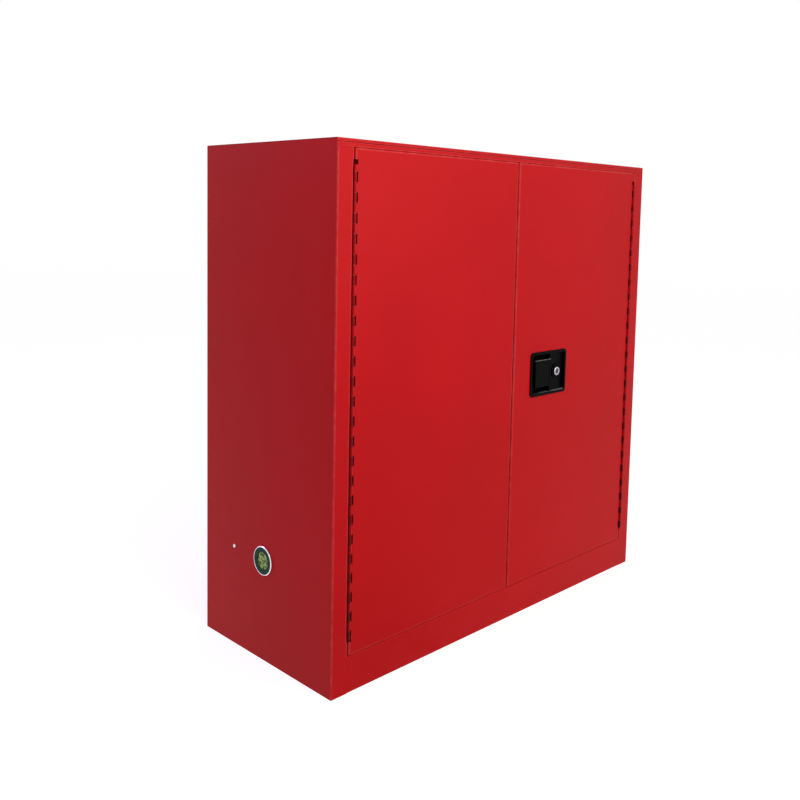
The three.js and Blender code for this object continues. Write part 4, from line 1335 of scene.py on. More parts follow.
@dataclass
class Door:
    """One door: the outer skin with its folded edges, and the inner skin nested in it."""

    side: int
    fold: float = 3 * MM
    inner_fold: float = 2 * MM
    rim: float = 12 * MM
    handle_window: Triple = (136.6 * MM, 102.6 * MM, 5.3 * MM)

    def build(self) -> None:
        """Builds both skins, with the slots that the latch rods pass through."""
        name = side_name(self.side)
        low, high = corners_of(f"{name}_door_outer_pan")
        middle, size = (low + high) / 2, high - low + places.growth
        half_x, half_y = places.rod_half
        rods = places.rods
        meeting = Edge.RIGHT if self.side < 0 else Edge.LEFT
        gates = [Gate(meeting, rods["centre_bolt"][2] - middle[2], half_x)]
        if self.side > 0:
            gates += [Gate(Edge.TOP, rods["top_rod"][0] - middle[0], half_x),
                      Gate(Edge.BOTTOM, rods["bottom_rod"][0] - middle[0], half_x)]
        rod_depth = rods["top_rod"][1] - low[1]
        to_axis = max(abs(low[0]), abs(high[0])) - float(places.hinge[0])
        bands = tuple((bottom - middle[2], top - middle[2], kind) for bottom, top, kind in places.bands)
        notch = Notch(Edge.LEFT if self.side < 0 else Edge.RIGHT, bands,
                      (to_axis + places.barrel + places.notch_clear, to_axis + places.slot_reach[1]),
                      places.notch_back - low[1])
        # The meeting edge's wall is painted dark, as shade in the gap between the doors.
        outer = Pan(size[0], size[2], size[1], self.fold, levels=(rod_depth + half_y, rod_depth - half_y),
                    rim=self.rim, gates=tuple(gates), notch=notch, shaded_edge=meeting)
        skin = Skin()
        window = None
        if self.side > 0:
            window = (*self.handle_window, (middle_of("handle_housing") - middle)[[0, 2]])
        outer.build(skin, window)
        skin.at([middle[0], low[1], middle[2]], (X, Z, Y))
        place(skin, f"{name}_door_outer_pan", Slot.RED, places.gauge, inside=middle + (0, 1, 0))
        inner_low, inner_high = corners_of(f"{name}_door_inner_pan")
        inner_size = inner_high - inner_low + places.growth
        from_back = high[1] - rods["top_rod"][1]
        inner = Pan(inner_size[0], inner_size[2], inner_size[1], self.inner_fold,
                    levels=(from_back + half_y, from_back - half_y), gates=tuple(gates))
        skin = Skin()
        inner.build(skin)
        skin.at([middle[0], high[1], middle[2]], (X, Z, -Y))
        place(skin, f"{name}_door_inner_pan", Slot.RED, places.gauge, inside=middle - (0, 1, 0))


@dataclass
class PianoHinge:
    """One continuous hinge: a leaf on the jamb, a leaf on the door, their knuckles, and the pin."""

    side: int
    gap: float = 0.4 * MM
    inner: float = 1.9 * MM
    arc_steps: int = 14
    root: float = 72.0
    wrap: float = 326.0
    comb: float = 3.4 * MM
    tab: Point = (2.75 * MM, 3.45 * MM)
    leaf_far: float = 1.35 * MM
    leaf_near: float = 0.15 * MM
    # Painted shade on the knuckles, from the jamb's side to the door's side, for the frame leaf and the door
    # leaf.
    painted_shade: tuple[Point, Point] = ((1.1, 0.85), (0.3, 0.6))
    # how much lighter the painted shade is at the top than at the bottom
    shade_fade: float = 0.5
    edge: float = 0.12 * MM

    def build(self) -> None:
        """Builds the two leaves and the pin."""
        name = side_name(self.side)
        low, high = corners_of(f"{name}_hinge_pin")
        for first, node in enumerate((f"{name}_hinge_frame_leaf", f"{name}_hinge_door_leaf")):
            self.leaf(node, first, low[2], high[2])
        self.pin(f"{name}_hinge_pin")

    def leaf(self, node: str, first: int, bottom: float, top: float) -> None:
        """Builds a leaf's plate and every second knuckle, rolled from it round the pin.

        A knuckle is a C in plan: its points are r (cos t, sin t) for two radii r, with t from the root
        angle round by the wrap, drawn from its lower to its upper end.

        Painted shade lies on the frame leaf's knuckles and, on the jamb's side, on the door leaf's too,
        darker lower down.

        Args:
            node: the frame's node.
            first: the first knuckle's number, 0 for the frame leaf and 1 for the door leaf.
            bottom: the lower end of the hinge.
            top: the upper end.
        """
        towards = 1 if first == 0 else -1
        angle = np.radians(self.root - np.linspace(0, self.wrap, self.arc_steps + 1))
        unit = np.stack([towards * np.cos(angle), np.sin(angle)], axis=1)
        pitch = (top - bottom) / places.knuckles
        number = np.arange(first, places.knuckles, 2)
        lower = bottom + number * pitch
        ends = np.stack([lower + self.gap / 2, lower + pitch - self.gap / 2])
        ends = np.clip(ends, *places.barrel_ends)
        radii = np.array([places.barrel, places.barrel, self.inner, self.inner, places.barrel])
        which = np.array([0, 1, 1, 0, 0])
        ring = np.empty((len(number), 5, len(angle), 3))
        ring[..., :2] = radii[None, :, None, None] * unit[None, None]
        ring[..., 2] = ends[which].T[:, :, None]
        painted_shade = np.interp(towards * np.cos(angle), [-1, 1], self.painted_shade[first])
        share = 1 - self.shade_fade * (ends[0] - bottom) / (top - bottom)
        skin = Skin()
        for knuckle, part, span in zip(ring, share, ends.T):
            skin.grid(knuckle, bend=-part * painted_shade)
            self.bar(skin, towards, span, self.tab)
            for column in (0, -1):
                skin.cap(knuckle[:4, column])
        plate = Skin()
        self.bar(plate, towards, places.barrel_ends, (self.comb, corners_of(node)[1][1] - places.hinge[1]))
        for drawn, name in ((skin, f"dressed_{node}_knuckles"), (plate, None)):
            drawn.at([self.side * places.hinge[0], places.hinge[1], 0], (self.side * X, Y, Z))
            place(drawn, node, Slot.RED, edge=self.edge, name=name)

    def bar(self, skin: Skin, towards: int, ends: Sequence[float], depths: Point) -> None:
        """Adds a closed box of the leaf's sheet: the plate, or the tab that joins a knuckle to it.

        Args:
            skin: what it is added to.
            towards: 1 for the leaf on the jamb and -1 for the one on the door.
            ends: the lower and upper end.
            depths: how far behind the axis it starts and ends.
        """
        near, outer = towards * self.leaf_near, towards * self.leaf_far
        loop = np.array([[near, depths[0]], [outer, depths[0]], [outer, depths[1]], [near, depths[1]]])
        skin.block(stack_loops([loop, loop], ends))

    def pin(self, node: str) -> None:
        """Builds the pin with domed ends: radius a cos t and height a sin t at each end.

        Args:
            node: the frame's node.
        """
        low, high = corners_of(node)
        ends = places.barrel_ends
        radius = (high[0] - low[0]) / 2
        angle = np.linspace(0, math.pi / 2, 5)[:, None]
        dome = radius * np.concatenate([np.cos(angle), np.sin(angle)], axis=1)
        bottom = dome[::-1] * [1, -1] + [0, ends[0] + radius]
        profile = np.concatenate([bottom, dome + [0, ends[1] - radius]])
        skin = Skin().grid(lathe(profile, 16), wrap=True)
        place(skin.at([*((low + high) / 2)[:2], 0]), node, Slot.ZINC, edge=0)


@dataclass
class FlushHandle:
    """The black handle in the right door: housing, paddle, pin, lock cylinder and key plug.

    Everything is drawn about the handle's middle on the door's face: x to the right, z up, and depth into
    the door.
    """

    size: Point = (144 * MM, 110 * MM)
    corner: float = 9 * MM
    proud: float = 3 * MM
    rim: float = 7 * MM
    rim_round: float = 1.2 * MM
    mouth_corner: float = 5 * MM
    pocket: float = 20 * MM
    floor_round: float = 1 * MM
    wall: float = 2.4 * MM
    # strength of the painted highlight on the housing's and the plateau's lower edges
    highlight_strength: float = 2.0
    plateau: float = 4 * MM
    plateau_from: float = 14 * MM
    plateau_round: float = 1.4 * MM
    plateau_corner: float = 1.8 * MM
    plateau_root: float = 0.5 * MM
    overlap: float = 0.4 * MM
    boss: Triple = (-6 * MM, 7 * MM, 25.6 * MM)
    soft: float = 0.6 * MM
    tail_slot: tuple[float, float, float, float] = (-7.5 * MM, 12.75 * MM, -26.7 * MM, -14.7 * MM)
    tail_at: Point = (10.45 * MM, -20.7 * MM)
    tail_size: Triple = (3.5 * MM, 9 * MM, 1.2 * MM)
    tail_tip: Triple = (2.3 * MM, 7.8 * MM, 0.9 * MM)
    tail_ends: Triple = (4 * MM, 27.9 * MM, 28.7 * MM)
    collar: Triple = (18 * MM, 14 * MM, 1.5 * MM)
    collar_round: float = 0.9 * MM
    axis: Point = (9 * MM, 3 * MM)
    eye: float = 4.5 * MM
    eye_span: Point = (-128, 173)
    lug_gap: float = 0.5 * MM
    lug_share: float = 0.94
    paddle_reach: float = 59 * MM
    paddle_half: float = 34 * MM
    paddle_front: float = -0.5 * MM
    paddle_back: float = 2.5 * MM
    paddle_round: float = 1.1 * MM
    paddle_draft: float = 0.55
    paddle_joins: Point = (5 * MM, 4.6 * MM)
    paddle_bends: Triple = (1.6 * MM, 1.2 * MM, 1.4 * MM)
    lip_depth: float = 6 * MM
    lip: float = 3 * MM
    pin_size: Point = (2 * MM, 0.5 * MM)
    lock_x: float = 37 * MM
    lock_proud: float = 1.5 * MM
    lock_back: float = 24 * MM
    head: float = 11 * MM
    head_back: float = 3.7 * MM
    head_dome: Point = (2 * MM, 0.5 * MM)
    shank: float = 9 * MM
    plug: float = 5.9 * MM
    plug_tail: float = 3 * MM
    plug_sides: int = 48
    key_slot: Triple = (2 * MM, 8 * MM, 0.6 * MM)
    key_chamfer: Triple = (2.5 * MM, 8.5 * MM, 0.8 * MM)
    key_depth: float = 6 * MM
    face_steps: Triple = (0.15 * MM, 0.1 * MM, 0.35 * MM)

    @cached_property
    def origin(self) -> np.ndarray:
        """The handle's middle on the door's face."""
        middle = middle_of("handle_housing")
        return np.array([middle[0], places.front, middle[2]])

    def place(self, skin: Skin, node: str, slot: Slot = Slot.BLACK, x: float = 0.0,
              **options: object) -> None:
        """Places a piece that was drawn in x, z and depth about the handle's middle, or x to its right."""
        options.setdefault("edge", 0)
        place(skin.at(self.origin + [x, 0, 0], (X, Z, Y)), node, slot, **options)

    def build(self) -> None:
        """Builds every part of the handle."""
        self.housing()
        self.plateau_block()
        self.collar_ring()
        self.paddle()
        self.pin()
        self.cylinder()
        self.key_plug()

    def housing(self) -> None:
        """Builds the rim, the mouth's walls, the pocket floor and the slot in it as rings of one loop."""
        size, soft = np.array(self.size), self.floor_round
        quarter = np.linspace(0, math.pi / 2, 5)
        out, up = self.rim_round * (1 - np.cos(quarter)), self.rim_round * np.sin(quarter)
        insets = np.array([0.0, *out, *(self.rim - out[::-1]), self.rim, self.rim, self.rim + soft])
        crest = self.rim_round - self.proud
        depths = np.array([-SEAM, *(crest - up), *(crest - up[::-1]), self.plateau, self.pocket - soft,
                           self.pocket, self.pocket])
        share = np.minimum(insets / self.rim, 1)
        radii = self.corner + (self.mouth_corner - self.corner) * share - np.maximum(insets - self.rim, 0)
        loops = [round_loop(*(size - 2 * inset), radius) for inset, radius in zip(insets, radii)]
        left, right, low, high = self.tail_slot
        loops.append(round_loop(right - left, high - low, soft) + [(left + right) / 2, (low + high) / 2])
        points = stack_loops(loops, depths)
        # The mouth's lower wall beside the plateau faces up to the light and is painted grey as a highlight.
        painted_highlight = (points[..., 1] < self.rim - size[1] / 2 + soft) & (points[..., 0] > self.plateau_from)
        at_mouth = (insets > self.rim - NEAR) & (depths[:-1] < self.plateau + NEAR)
        skin = Skin().grid(points, wrap=True, bend=painted_highlight * np.append(at_mouth, False)[:, None] * self.highlight_strength)
        self.place(skin, "handle_housing", gauge=self.wall, edge=0.3 * MM, inside=self.origin + [0, 0.5, 0])

    def plateau_block(self) -> None:
        """Builds the raised part that carries the lock, with a rounded front edge, and the crank's boss."""
        right = self.size[0] / 2 - self.rim + self.overlap
        wide, tall = right - self.plateau_from, self.size[1] - 2 * self.rim + 2 * self.overlap
        turn = np.linspace(math.pi / 2, 0, 5)
        insets = [0, *(self.plateau_round * (1 - np.sin(turn)))]
        rise = self.plateau_round * (1 - np.cos(turn))
        middle = [(self.plateau_from + right) / 2, 0]
        loops = [round_loop(wide - 2 * inset, tall - 2 * inset, self.plateau_corner) + middle
                 for inset in insets]
        grid = stack_loops(loops, [self.pocket + self.plateau_root, *(self.plateau + rise)])
        # The plateau's lower front edge is painted grey as a highlight.
        painted_highlight = grid[..., 1] < self.floor_round - tall / 2
        painted_highlight[0] = False
        skin = Skin().block(grid, painted_highlight * self.highlight_strength)
        x, radius, end = self.boss
        profile = rounded([(0, self.pocket), (radius, self.pocket), (radius, end), (0, end)], self.soft)
        skin.grid(lathe(profile, 32) + [x, 0, 0], wrap=True)
        self.lugs(skin)
        self.place(skin, "handle_housing", name="dressed_handle_plateau")

    def lugs(self, skin: Skin) -> None:
        """Adds the two round lugs that carry the pin, above and below the paddle, as turned profiles.

        Args:
            skin: what they are added to.
        """
        far = self.size[1] / 2 - self.rim + self.overlap
        near, radius = self.paddle_half + self.lug_gap, self.eye * self.lug_share
        turned = lathe(rounded([(0, near), (radius, near), (radius, far), (0, far)], self.soft), 32)
        for way in (-1, 1):
            skin.grid(turned[..., [0, 2, 1]] * [1, way, 1] + [self.axis[0], 0, self.axis[1]], wrap=True)

    def collar_ring(self) -> None:
        """Builds the raised collar round the lock: a ring of a rounded profile."""
        outer, inner, front = self.collar
        back = self.plateau + SEAM
        corners = [(inner, back), (inner, front), (outer, front), (outer, back)]
        profile = rounded(corners, self.collar_round, 5)
        skin = Skin().grid(lathe(profile, 72, closed=True), wrap=True)
        self.place(skin, "handle_housing", x=self.lock_x, name="dressed_handle_collar")

    def paddle(self) -> None:
        """Builds the paddle from one rounded outline in x and depth, drawn along z, and its tail.

        Towards each end the outline moves in along its own normals by a share of r (1 - cos t), with r the
        end's rounding.
        """
        axis, left = self.axis[0], self.axis[0] - self.paddle_reach
        front, back = self.paddle_front, self.paddle_back
        lip, depth = left + self.lip, self.lip_depth
        flat = [(axis - self.paddle_joins[0], back), (lip, back), (lip, depth), (left, depth), (left, front),
                (axis - self.paddle_joins[1], front)]
        root, tip, edge = self.paddle_bends
        outline = bent_path(flat, [0, root, tip, tip, edge, 0], 5, margin=1 * MM)[0][0]
        angle = np.radians(np.linspace(*self.eye_span, 22))
        eye = self.eye * np.stack([np.cos(angle), np.sin(angle)], axis=1) + self.axis
        outline = np.concatenate([outline, eye])
        turn, end = np.linspace(0, math.pi / 2, 5), self.paddle_round
        rise, shrink = end * np.sin(turn), end * (1 - np.cos(turn))
        heights = np.concatenate([end - self.paddle_half - rise[::-1], [self.paddle_half - 2 * end],
                                  self.paddle_half - end + rise])
        insets = np.concatenate([shrink[::-1], [0], shrink])
        ahead = np.roll(outline, -1, axis=0)
        tangent = ahead - np.roll(outline, 1, axis=0)
        normal = np.stack([tangent[:, 1], -tangent[:, 0]], axis=1)
        normal /= np.maximum(np.linalg.norm(normal, axis=1, keepdims=True), 1e-9)
        normal *= np.sign((outline[:, 0] * ahead[:, 1] - outline[:, 1] * ahead[:, 0]).sum())
        rows = outline[None] - insets[:, None, None] * self.paddle_draft * normal[None]
        level = np.broadcast_to(heights[:, None], rows.shape[:2])
        grid = np.stack([rows[..., 0], level, rows[..., 1]], axis=-1)
        # The paddle's top edge is painted grey as a highlight.
        painted_highlight = (heights > self.paddle_half - end - NEAR)[:, None] & (rows[..., 1] < back)
        skin = Skin().block(grid, painted_highlight * 1.0)
        tail, tip = (round_loop(*size, 3) + self.tail_at for size in (self.tail_size, self.tail_tip))
        self.place(skin.block(stack_loops([tail, tail, tip], self.tail_ends)), "handle_paddle")

    def pin(self) -> None:
        """Builds the paddle's pin with rounded ends."""
        low, high = corners_of("paddle_pin")
        half = (high[2] - low[2]) / 2
        radius, soft = self.pin_size
        profile = rounded([(0, -half), (radius, -half), (radius, half), (0, half)], soft, 3)
        skin = Skin().grid(lathe(profile, 24), wrap=True)
        place(skin.at(self.origin + [*self.axis, 0]), "paddle_pin", Slot.ZINC, edge=0)

    def cylinder(self) -> None:
        """Builds the lock cylinder: a domed bright head on a round body, bored for the plug."""
        bore = self.plug + 0.1 * MM
        front, neck, back = -self.lock_proud, self.head_back, self.lock_back
        profile = [(bore, back), (self.shank, back), (self.shank, neck), (self.head, neck),
                   (self.head, front + self.head_dome[1]), (self.head - self.head_dome[0], front),
                   (bore + self.soft, front), (bore, front + self.soft), (bore, back)]
        radii = np.array([0, 0.5, 0.2, 0.4, 1.2, 0.6, 0.4, 0.3, 0]) * MM
        skin = Skin().grid(lathe(rounded(profile, radii), 64), wrap=True)
        self.place(skin, "lock_cylinder", Slot.CHROME, self.lock_x, finish="lock")

    def key_plug(self) -> None:
        """Builds the key plug: a dished round face with a key slot, and the shank that turns the cam."""
        end = corners_of("lock_plug")[1][1] - places.front
        front, tail, (edge, dish, chamfer) = -self.lock_proud, self.plug_tail, self.face_steps
        rims = [(tail, end), (tail, self.lock_back), (self.plug, self.lock_back),
                (self.plug, front + self.soft), (self.plug - edge, front + edge),
                (self.plug - self.soft, front)]
        loops = [circle(radius, self.plug_sides) for radius, _ in rims]
        loops += [round_loop(*size, self.plug_sides // 4 - 1)
                  for size in (self.key_chamfer, self.key_slot, self.key_slot)]
        depths = [depth for _, depth in rims] + [front + dish, front + chamfer, front + self.key_depth]
        skin = Skin().block(stack_loops(loops, depths))
        self.place(skin, "lock_plug", Slot.CHROME, self.lock_x, finish="plug")


@dataclass
class Latch:
    """The rod latch inside the right door, whose solids keep their shapes."""

    nodes: tuple[str, ...] = (
        "latch_crank", "crank_pivot", "top_rod", "bottom_rod", "centre_bolt", "top_rod_guide",
        "bottom_rod_guide", "centre_bolt_guide", "centre_strike", "lock_cam",
    )

    def build(self) -> None:
        """Dresses the crank, the rods, the bolt, their guides, the cam and the centre strike."""
        for node in self.nodes:
            keep_node(node, Slot.ZINC)


@dataclass
class Vent:
    """One screened vent: flange and threaded tube, woven mesh, mesh ring, and the nut inside.

    It is drawn about its own axis, which points outwards from the side wall.
    """

    side: int
    flange: float = 32.2 * MM
    seat: float = 29.7 * MM
    tube: float = 25.5 * MM
    bore: float = 22.5 * MM
    front: float = 4 * MM
    bevel: float = 1.2 * MM
    ledge: float = 0.8 * MM
    inner_end: float = -48.4 * MM
    thread_from: float = -47.4 * MM
    thread_end: float = -36 * MM
    thread_pitch: float = 1.5 * MM
    thread_depth: float = 0.6 * MM
    mesh_radius: float = 29.2 * MM
    mesh_pitch: float = 1.3 * MM
    wire: float = 0.27 * MM
    wire_lift: float = 1.5 * MM
    wire_reach: Point = (0.9, 0.93)
    gauze: Point = (1.1 * MM, 1.2 * MM)
    ring_inner: float = 19 * MM
    ring_depths: Point = (1.9 * MM, 3.4 * MM)
    ring_round: float = 0.5 * MM
    nut: Point = (33 * MM, 25.8 * MM)
    nut_height: float = 5 * MM
    lobes: int = 10
    lobe_step: Point = (18, 0.72)
    lobe_depth: float = 2.2 * MM
    sides: int = 96

    def place(self, skin: Skin, part: str, slot: Slot) -> None:
        """Places a part of the vent that was drawn about the vent's axis.

        Args:
            skin: the surface.
            part: the part's name.
            slot: the record's slot that gives the finish.
        """
        name = side_name(self.side)
        middle = middle_of(f"{name}_vent_tube")
        skin.at([self.side * places.half_width, middle[1], middle[2]], (Y, Z, self.side * X))
        place(skin, f"{name}_vent_{part}", slot, edge=0)

    def build(self) -> None:
        """Builds the four parts of the vent."""
        self.tube_piece()
        self.mesh_piece()
        self.ring_piece()
        self.nut_piece()

    def tube_piece(self) -> None:
        """Builds the flange and the tube.

        The thread's radius is R - d (1/2 + 1/2 cos(2 pi (h / p) - t)), so its ridges climb round the tube.
        """
        heights = np.arange(self.thread_from, self.thread_end, self.thread_pitch / 6)
        angle = np.arange(self.sides) * 2 * math.pi / self.sides
        phase = 2 * math.pi * heights[:, None] / self.thread_pitch - angle[None, :]
        radius = self.tube - self.thread_depth * (0.5 + 0.5 * np.cos(phase))
        thread = np.stack([radius * np.cos(angle), radius * np.sin(angle),
                           np.broadcast_to(heights[:, None], radius.shape)], axis=-1)
        start = np.array([(self.bore, self.inner_end), (self.tube - self.thread_depth, self.inner_end)])
        rim = [(self.tube, self.thread_end + self.thread_pitch), (self.tube, SEAM), (self.flange, SEAM),
               (self.flange, self.front - self.bevel), (self.flange - self.bevel, self.front),
               (self.seat, self.front), (self.seat, self.ledge), (self.bore, self.ledge),
               (self.bore, self.inner_end)]
        rim = rounded(rim, np.array([0, 0.1, 0.3, 0.6, 0.6, 0.4, 0.1, 0.2, 0]) * MM)
        rows = np.concatenate([lathe(start, self.sides), thread, lathe(rim, self.sides)])
        self.place(Skin().grid(rows, wrap=True), "tube", Slot.CHROME)

    def mesh_piece(self) -> None:
        """Builds the woven mesh over a fine gauze disc.

        A wire at offset q runs along s with height a cos(pi s / p) times 1 or -1 in turn, as a square tube.
        """
        furthest, longest = (self.mesh_radius * share for share in self.wire_reach)
        half, step = int(furthest / self.mesh_pitch), self.mesh_pitch / 2
        turn = np.radians([45, 135, 225, 315, 405])
        skin = Skin()
        for number, q in enumerate(np.arange(-half, half + 1) * self.mesh_pitch):
            count = int(2 * math.sqrt(longest ** 2 - q * q) / step)
            along = (np.arange(count + 1) - count / 2) * step
            along += (along[0] / step % 1) * step
            wave = self.wire * np.cos(math.pi * along / self.mesh_pitch) * (1 if number % 2 else -1)
            for order in ([0, 1, 2], [1, 0, 2]):
                height = self.wire_lift + wave[:, None] + self.wire * np.sin(turn)
                spots = np.broadcast_arrays(along[:, None], q + self.wire * np.cos(turn), height)
                skin.grid(np.stack(spots, axis=-1)[..., order])
                wave = -wave
        back, front = self.gauze
        disc = np.array([(0, back), (self.mesh_radius, back), (self.mesh_radius, front), (0, front)])
        self.place(skin.grid(lathe(disc, self.sides), wrap=True), "mesh", Slot.BRASS)

    def ring_piece(self) -> None:
        """Builds the ring that holds the mesh, from a rounded profile."""
        low, high = self.ring_depths
        profile = rounded([(self.ring_inner, low), (self.ring_inner, high), (self.mesh_radius, high),
                           (self.mesh_radius, low)], self.ring_round)
        self.place(Skin().grid(lathe(profile, self.sides, closed=True), wrap=True), "ring", Slot.GREEN)

    def nut_piece(self) -> None:
        """Builds the nut: its outer radius is R less a depth wherever cos(n t) is high, in a soft step."""
        low, high = corners_of(f"{side_name(self.side)}_vent_nut")
        face = min(abs(low[0]), abs(high[0])) - places.half_width
        end, (outer, inner), (steepness, level) = face + self.nut_height, self.nut, self.lobe_step
        profile = rounded([(inner, end), (outer, end), (outer, face), (inner, face), (inner, end)],
                          np.array([0, 0.5, 0.5, 0.3, 0]) * MM, 6)
        points = lathe(profile, self.sides * 2)
        angle = np.arange(self.sides * 2) * math.pi / self.sides
        notch = 1 / (1 + np.exp(-steepness * (np.cos(self.lobes * angle) - level)))
        outside = (profile[:, 0] > (outer + inner) / 2)[:, None] * notch[None, :] * self.lobe_depth / outer
        points[..., :2] *= (1 - outside)[..., None]
        self.place(Skin().grid(points, wrap=True), "nut", Slot.ZINC)


@dataclass
class Earthing:
    """The earthing screw in the left side wall, and its nut."""

    head: float = 4 * MM
    shank: float = 2.5 * MM
    dome: float = 2.4 * MM
    dome_from: float = 60.0
    tip: float = 0.4 * MM
    crown: float = 0.2 * MM
    slot: Triple = (6.4 * MM, 1 * MM, 0.3 * MM)
    slot_depth: float = 1 * MM
    sides: int = 48

    def build(self) -> None:
        """Builds the screw, with a domed and slotted head, and dresses the nut.

        The dome's radius is R sin t and its rise H cos t.
        """
        low, high = corners_of("earth_screw")
        reach, top = high[0] + places.half_width, -places.half_width - low[0] - self.crown
        turn = np.linspace(math.pi / 2, math.radians(self.dome_from), 4)
        radii = [self.shank - self.tip, self.shank, self.shank, self.head, *(self.head * np.sin(turn))]
        dome = top - self.dome * (math.cos(turn[-1]) - np.cos(turn))
        rise = [-reach, -reach + self.tip, SEAM, SEAM, *dome]
        loops = [circle(radius, self.sides) for radius in radii]
        loops += [round_loop(*self.slot, self.sides // 4 - 1)] * 2
        skin = Skin().block(stack_loops(loops, [*rise, top + self.crown, top - self.slot_depth]))
        skin.at([-places.half_width, *middle_of("earth_screw")[1:]], (Y, Z, -X))
        place(skin, "earth_screw", Slot.CHROME, edge=0)
        keep_node("earth_nut", Slot.ZINC)


@dataclass
class Shelving:
    """The shelf, its four clips and the slotted strips on the side liners."""

    slot: Point = (6 * MM, 12 * MM)
    pitch: float = 60 * MM
    first: float = 30 * MM
    cell_share: float = 0.35
    round_share: float = 0.98
    strip_gauge: float = 2 * MM
    hem: float = 12 * MM
    shelf_corner: float = 2 * MM
    shelf_fold: float = 2.5 * MM

    def build(self) -> None:
        """Builds the strips and the shelf and dresses the clips."""
        for side in ("left", "right"):
            for end in ("front", "rear"):
                self.strip(f"{side}_{end}_shelf_strip")
                keep_node(f"{side}_{end}_shelf_clip", Slot.ZINC)
        self.shelf()

    def strip(self, node: str) -> None:
        """Builds one strip: a row of cells along z, each with a round-ended slot left open.

        Args:
            node: the frame's node.
        """
        low, high = corners_of(node)
        middle, half = (low + high) / 2, (high[1] - low[1]) / 2
        centres = np.arange(low[2] + self.first, high[2] - self.pitch / 2, self.pitch)
        reach = self.pitch * self.cell_share
        loop = round_loop(*self.slot, self.slot[0] / 2 * self.round_share, 5)
        loop = np.column_stack([np.roll(loop, -len(loop) // 2, axis=0), np.zeros(len(loop))])
        box = np.array([[-half, -reach, 0], [half, -reach, 0], [half, reach, 0], [-half, reach, 0]])
        side = np.sign(middle[0])
        face = low[0] if side > 0 else high[0]
        skin = Skin()
        for centre in centres:
            skin.window(box + [0, centre, 0], loop + [0, centre, 0])
        edges = np.sort([low[2], *(centres - reach), *(centres + reach), high[2]])
        for bottom, top in edges.reshape(-1, 2):
            skin.grid(np.array([[[-half, bottom, 0], [half, bottom, 0]], [[-half, top, 0], [half, top, 0]]]))
        skin.at([face, middle[1], 0], (Y, Z, X))
        place(skin, node, Slot.ZINC, self.strip_gauge, inside=np.array([side * 1.0, middle[1], middle[2]]))

    def shelf(self) -> None:
        """Builds the shelf as a pan turned over, with a hem under its walls."""
        low, high = corners_of("shelf")
        middle = (low + high) / 2
        skin = Skin()
        Pan(*(high - low), self.shelf_fold, self.shelf_corner, hem=self.hem).build(skin)
        skin.at([middle[0], middle[1], high[2]], (X, Y, -Z))
        place(skin, "shelf", Slot.ZINC, places.gauge, inside=middle - (0, 0, 1))


@dataclass(frozen=True)
class Lamp:
    """A soft rectangular light: where it stands, what it looks at, its size, its power and its colour."""

    name: str
    stand: Triple
    target: Triple
    size: Point
    watts: float
    colour: Colour

    def build(self) -> None:
        """Adds the light."""
        data = bpy.data.lights.new(self.name, "AREA")
        data.shape = "RECTANGLE"
        data.size, data.size_y = self.size
        data.energy = self.watts
        data.color = linear(self.colour)[:3]
        lamp = bpy.data.objects.new(self.name, data)
        turn = (Vector(self.target) - Vector(self.stand)).to_track_quat("-Z", "Y").to_matrix().to_4x4()
        lamp.matrix_world = Matrix.Translation(Vector(self.stand)) @ turn
        bpy.context.scene.collection.objects.link(lamp)


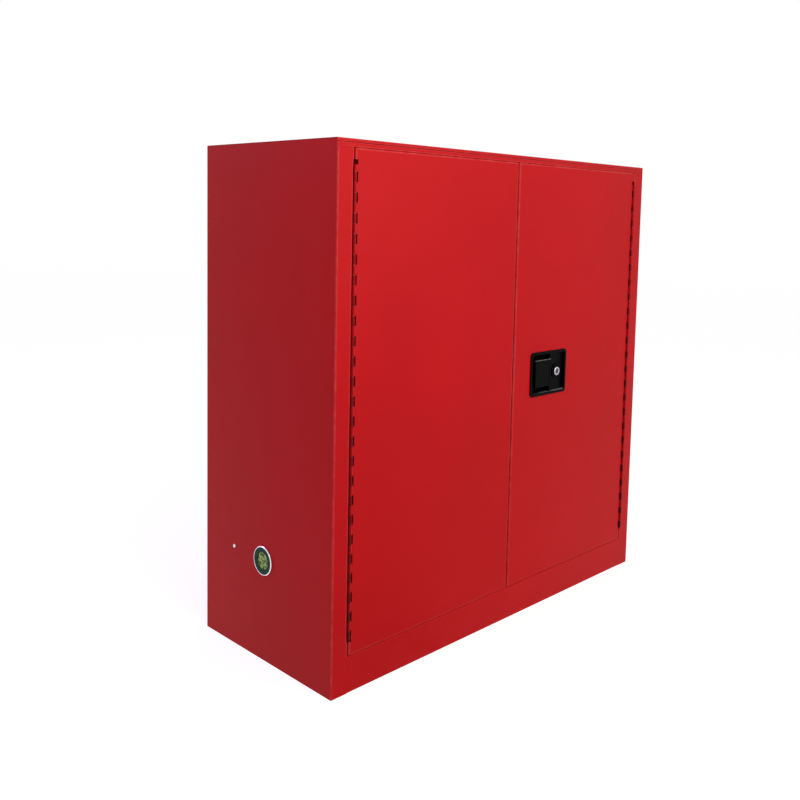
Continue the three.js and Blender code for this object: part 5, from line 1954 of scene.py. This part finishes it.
@dataclass
class Studio:
    """The plain floor, the soft lights and the camera at the photograph's viewing angle."""

    lens: float = 40.57
    shift: Point = (-0.0406, -0.126)
    stand: Triple = (-1.6570, -1.5618, 0.9741)
    azimuth: float = 45.91
    elevation: float = -5.26
    roll: float = 1.32
    lamps: tuple[Lamp, ...] = (
        Lamp("key_light", (-0.75, -1.35, 1.75), (-0.2, -0.2, 0.8), (0.8, 0.8), 9.5, (255, 248, 242)),
        Lamp("front_light", (0.9, -2.8, 1.3), (0.1, 0, 0.6), (2.0, 1.6), 25.0, (255, 252, 250)),
        Lamp("fill_light", (-2.2, 2.6, 2.6), (-0.5, 0.1, 1.0), (1.2, 1.2), 40.0, (194, 160, 255)),
    )
    world_level: float = 0.39
    floor_glow: float = 0.77
    floor_half: float = 14.0
    floor_level: float = -0.5 * MM
    furthest: float = 60.0

    def build(self) -> None:
        """Sets up the camera, the world, the lamps and the floor."""
        self.camera()
        self.world()
        for lamp in self.lamps:
            lamp.build()
        self.floor()
        bpy.context.scene.view_settings.view_transform = "Standard"

    def camera(self) -> None:
        """Places the camera by its forward direction f, right r and up u, turned about f by the roll."""
        azimuth, elevation, roll = np.radians([self.azimuth, self.elevation, self.roll]).tolist()
        forward = Vector((math.sin(azimuth) * math.cos(elevation), math.cos(azimuth) * math.cos(elevation),
                          math.sin(elevation)))
        right = forward.cross(Vector((0, 0, 1))).normalized()
        up = right.cross(forward)
        turned_right = right * math.cos(roll) + up * math.sin(roll)
        turned_up = up * math.cos(roll) - right * math.sin(roll)
        data = bpy.data.cameras.new("camera")
        data.lens = self.lens
        data.shift_x, data.shift_y = self.shift
        data.clip_end = self.furthest
        camera = bpy.data.objects.new("camera", data)
        axes = Matrix((turned_right, turned_up, -forward)).transposed().to_4x4()
        camera.matrix_world = Matrix.Translation(Vector(self.stand)) @ axes
        bpy.context.scene.collection.objects.link(camera)
        bpy.context.scene.camera = camera

    @staticmethod
    def seen(tree: bpy.types.NodeTree) -> bpy.types.NodeSocket:
        """Gives 1 for rays from the camera, from glossy surfaces and through glass, and 0 for others.

        Args:
            tree: the node tree that it is added to.
        Returns:
            the value.
        """
        path = tree.nodes.new("ShaderNodeLightPath")
        total = path.outputs["Is Camera Ray"]
        for name in ("Is Glossy Ray", "Is Transmission Ray"):
            node = tree.nodes.new("ShaderNodeMath")
            node.operation = "MAXIMUM"
            tree.links.new(total, node.inputs[0])
            tree.links.new(path.outputs[name], node.inputs[1])
            total = node.outputs[0]
        return total

    def world(self) -> None:
        """Makes a world that is white to the camera and a soft grey as light."""
        world = bpy.data.worlds.new("studio")
        world.use_nodes = True
        tree = world.node_tree
        background = next(node for node in tree.nodes if node.type == "BACKGROUND")
        background.inputs["Color"].default_value = (1, 1, 1, 1)
        level = tree.nodes.new("ShaderNodeMapRange")
        level.inputs["To Min"].default_value = self.world_level
        level.inputs["To Max"].default_value = 1.0
        tree.links.new(self.seen(tree), level.inputs["Value"])
        tree.links.new(level.outputs["Result"], background.inputs["Strength"])
        bpy.context.scene.world = world

    def floor(self) -> None:
        """Makes the floor, almost white to the camera with the shadows that fall on it."""
        half, low = self.floor_half, self.floor_level
        mesh = bpy.data.meshes.new("floor")
        mesh.from_pydata([(-half, -half, low), (half, -half, low), (half, half, low), (-half, half, low)], [],
                         [(0, 1, 2, 3)])
        floor = bpy.data.objects.new("floor", mesh)
        bpy.context.scene.collection.objects.link(floor)
        recipe = Recipe("pale_floor")
        recipe.set(Roughness=0.9, Specular_IOR_Level=0.1, Base_Color=(0.5, 0.5, 0.5, 1))
        glow = recipe.spread(self.seen(recipe.tree), 0, self.floor_glow, 0, 1)
        recipe.feed(recipe.shader.inputs["Emission Strength"], glow)
        recipe.set(Emission_Color=(1, 1, 1, 1))
        mesh.materials.append(recipe.material)
        floor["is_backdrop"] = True


def main(cad_box: object) -> None:
    """Builds every sub-assembly in order.

    Args:
        cad_box: the box of the CAD model, not used.
    """
    logging.basicConfig(level=logging.INFO, format="%(message)s")
    Studio().build()
    Shell().build()
    for side in (-1, 1):
        Door(side).build()
        PianoHinge(side).build()
        Vent(side).build()
    FlushHandle().build()
    for part in (Latch(), Earthing(), Shelving()):
        part.build()


if __name__ == "__main__":
    main(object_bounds())
